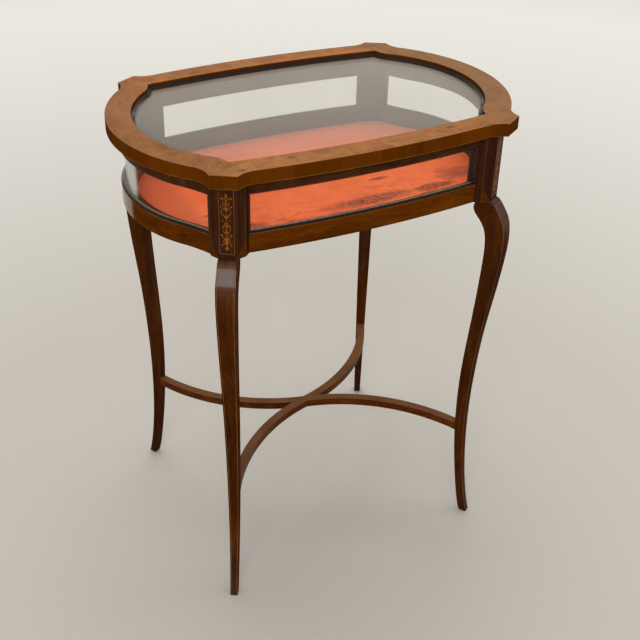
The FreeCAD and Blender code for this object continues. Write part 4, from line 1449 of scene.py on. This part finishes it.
@dataclass
class Studio:
    """Camera, floor, backdrop and lamps."""

    position: Triple = (-0.6450, -1.2419, 1.2637)
    yaw: float = -26.245
    pitch: float = 29.884
    roll: float = 0.586
    lens: float = 55.92
    sensor: float = 36.0
    shift_x: float = 0.0469
    shift_y: float = -0.09
    clip: Tuple[float, float] = (0.01, 100.0)
    floor_side: float = 28.0
    floor_near: Tuple[Colour, Colour] = ((184, 180, 172), (194, 190, 183))
    floor_far: Colour = (236, 235, 230)
    fade_from: float = 0.7
    fade_to: float = 3.2
    air: Tuple[float, ...] = (1.0, 0.99, 0.97, 1)
    air_power: float = 0.62
    backdrop: Colour = (233, 233, 230)
    target: Triple = (0, 0, 0.5)
    lamps: Tuple[Lamp, ...] = (
        Lamp("lamp_over", (0.6, 1.6, 4.6), 3.6, 100, (1.0, 0.98, 0.95)),
        Lamp("lamp_right", (3.8, -1.4, 1.9), 2.4, 26, (1.0, 0.95, 0.88)),
        Lamp("lamp_front", (-2.6, -4.0, 2.9), 2.6, 110, (1.0, 0.97, 0.93)))

    def camera(self) -> None:
        """Sets up the camera."""
        Bench.clear()
        bpy.ops.object.camera_add()
        camera = bpy.context.object
        camera.matrix_world = (Matrix.Translation(self.position)
                               @ Matrix.Rotation(math.radians(self.yaw), 4, "Z")
                               @ Matrix.Rotation(math.radians(90 - self.pitch), 4, "X")
                               @ Matrix.Rotation(math.radians(self.roll), 4, "Z"))
        camera.data.lens = self.lens
        camera.data.sensor_width = self.sensor
        camera.data.shift_x = self.shift_x
        camera.data.shift_y = self.shift_y
        camera.data.clip_start, camera.data.clip_end = self.clip
        camera.data.dof.use_dof = False
        bpy.context.scene.camera = camera

    def floor(self) -> None:
        """Lays a pale floor that fades into the backdrop."""
        floor = Bench.plane("studio_floor", self.floor_side, self.floor_side)
        recipe = Recipe("studio_floor_pale")
        tuft = recipe.noise(recipe.plain, 420, 3, 0.6)
        x, y, _ = recipe.parts("Object")
        far = recipe.span(recipe.calc("SQRT", recipe.squares(x, y)), self.fade_from,
                          self.fade_to)
        colour = recipe.mix(far, recipe.ramp(tuft, (0.35, 0.65), self.floor_near),
                            self.floor_far)
        floor.data.materials.append(recipe.set(Base_Color=colour, Roughness=0.95,
                                               Specular_IOR_Level=0.1))

    def world(self) -> None:
        """Gives the room an even pale light and a pale background."""
        world = bpy.data.worlds.new("studio_air")
        bpy.context.scene.world = world
        world.use_nodes = True
        air = Nodes(world.node_tree)
        sky = air.tree.nodes["Background"]
        air.fill(sky, {"Color": self.air, "Strength": self.air_power})
        back = air.node("Background", Color=linear(self.backdrop), Strength=1.0)
        rays = air.node("LightPath").outputs
        seen = air.most(rays["Is Camera Ray"], rays["Is Transmission Ray"],
                        rays["Is Glossy Ray"])
        choose = air.node("MixShader")
        for index, value in enumerate((seen, sky.outputs[0], back.outputs[0])):
            air.put(choose.inputs[index], value)
        air.put(air.tree.nodes["World Output"].inputs["Surface"], choose.outputs[0])

    def build(self) -> None:
        """Sets up the whole studio."""
        self.camera()
        self.floor()
        self.world()
        for lamp in self.lamps:
            lamp.hang(self.target)
        bpy.context.scene.view_settings.view_transform = "Standard"


def main() -> None:
    """Builds the studio, then the table's sub-assemblies in order."""
    logging.basicConfig(level=logging.INFO, format="%(name)s: %(message)s")
    Studio().build()
    boxwood = PolishedWood("boxwood_line", BOXWOOD, Grain.Z, size=LINE_FIGURE, gloss=0.38,
                           coat=0.1).make()
    gilded = PolishedWood("marquetry_wood", GILDED_WOOD, Grain.Z, size=0.5, gloss=0.38,
                          coat=0.1).make()
    stand = Stand()
    stand.dress()
    stand.lines(boxwood)
    case = Case()
    case.dress()
    case.lining()
    Ornament().build(gilded, boxwood)
    Lid().dress()
    Hardware().dress()


if __name__ == "__main__":
    main()
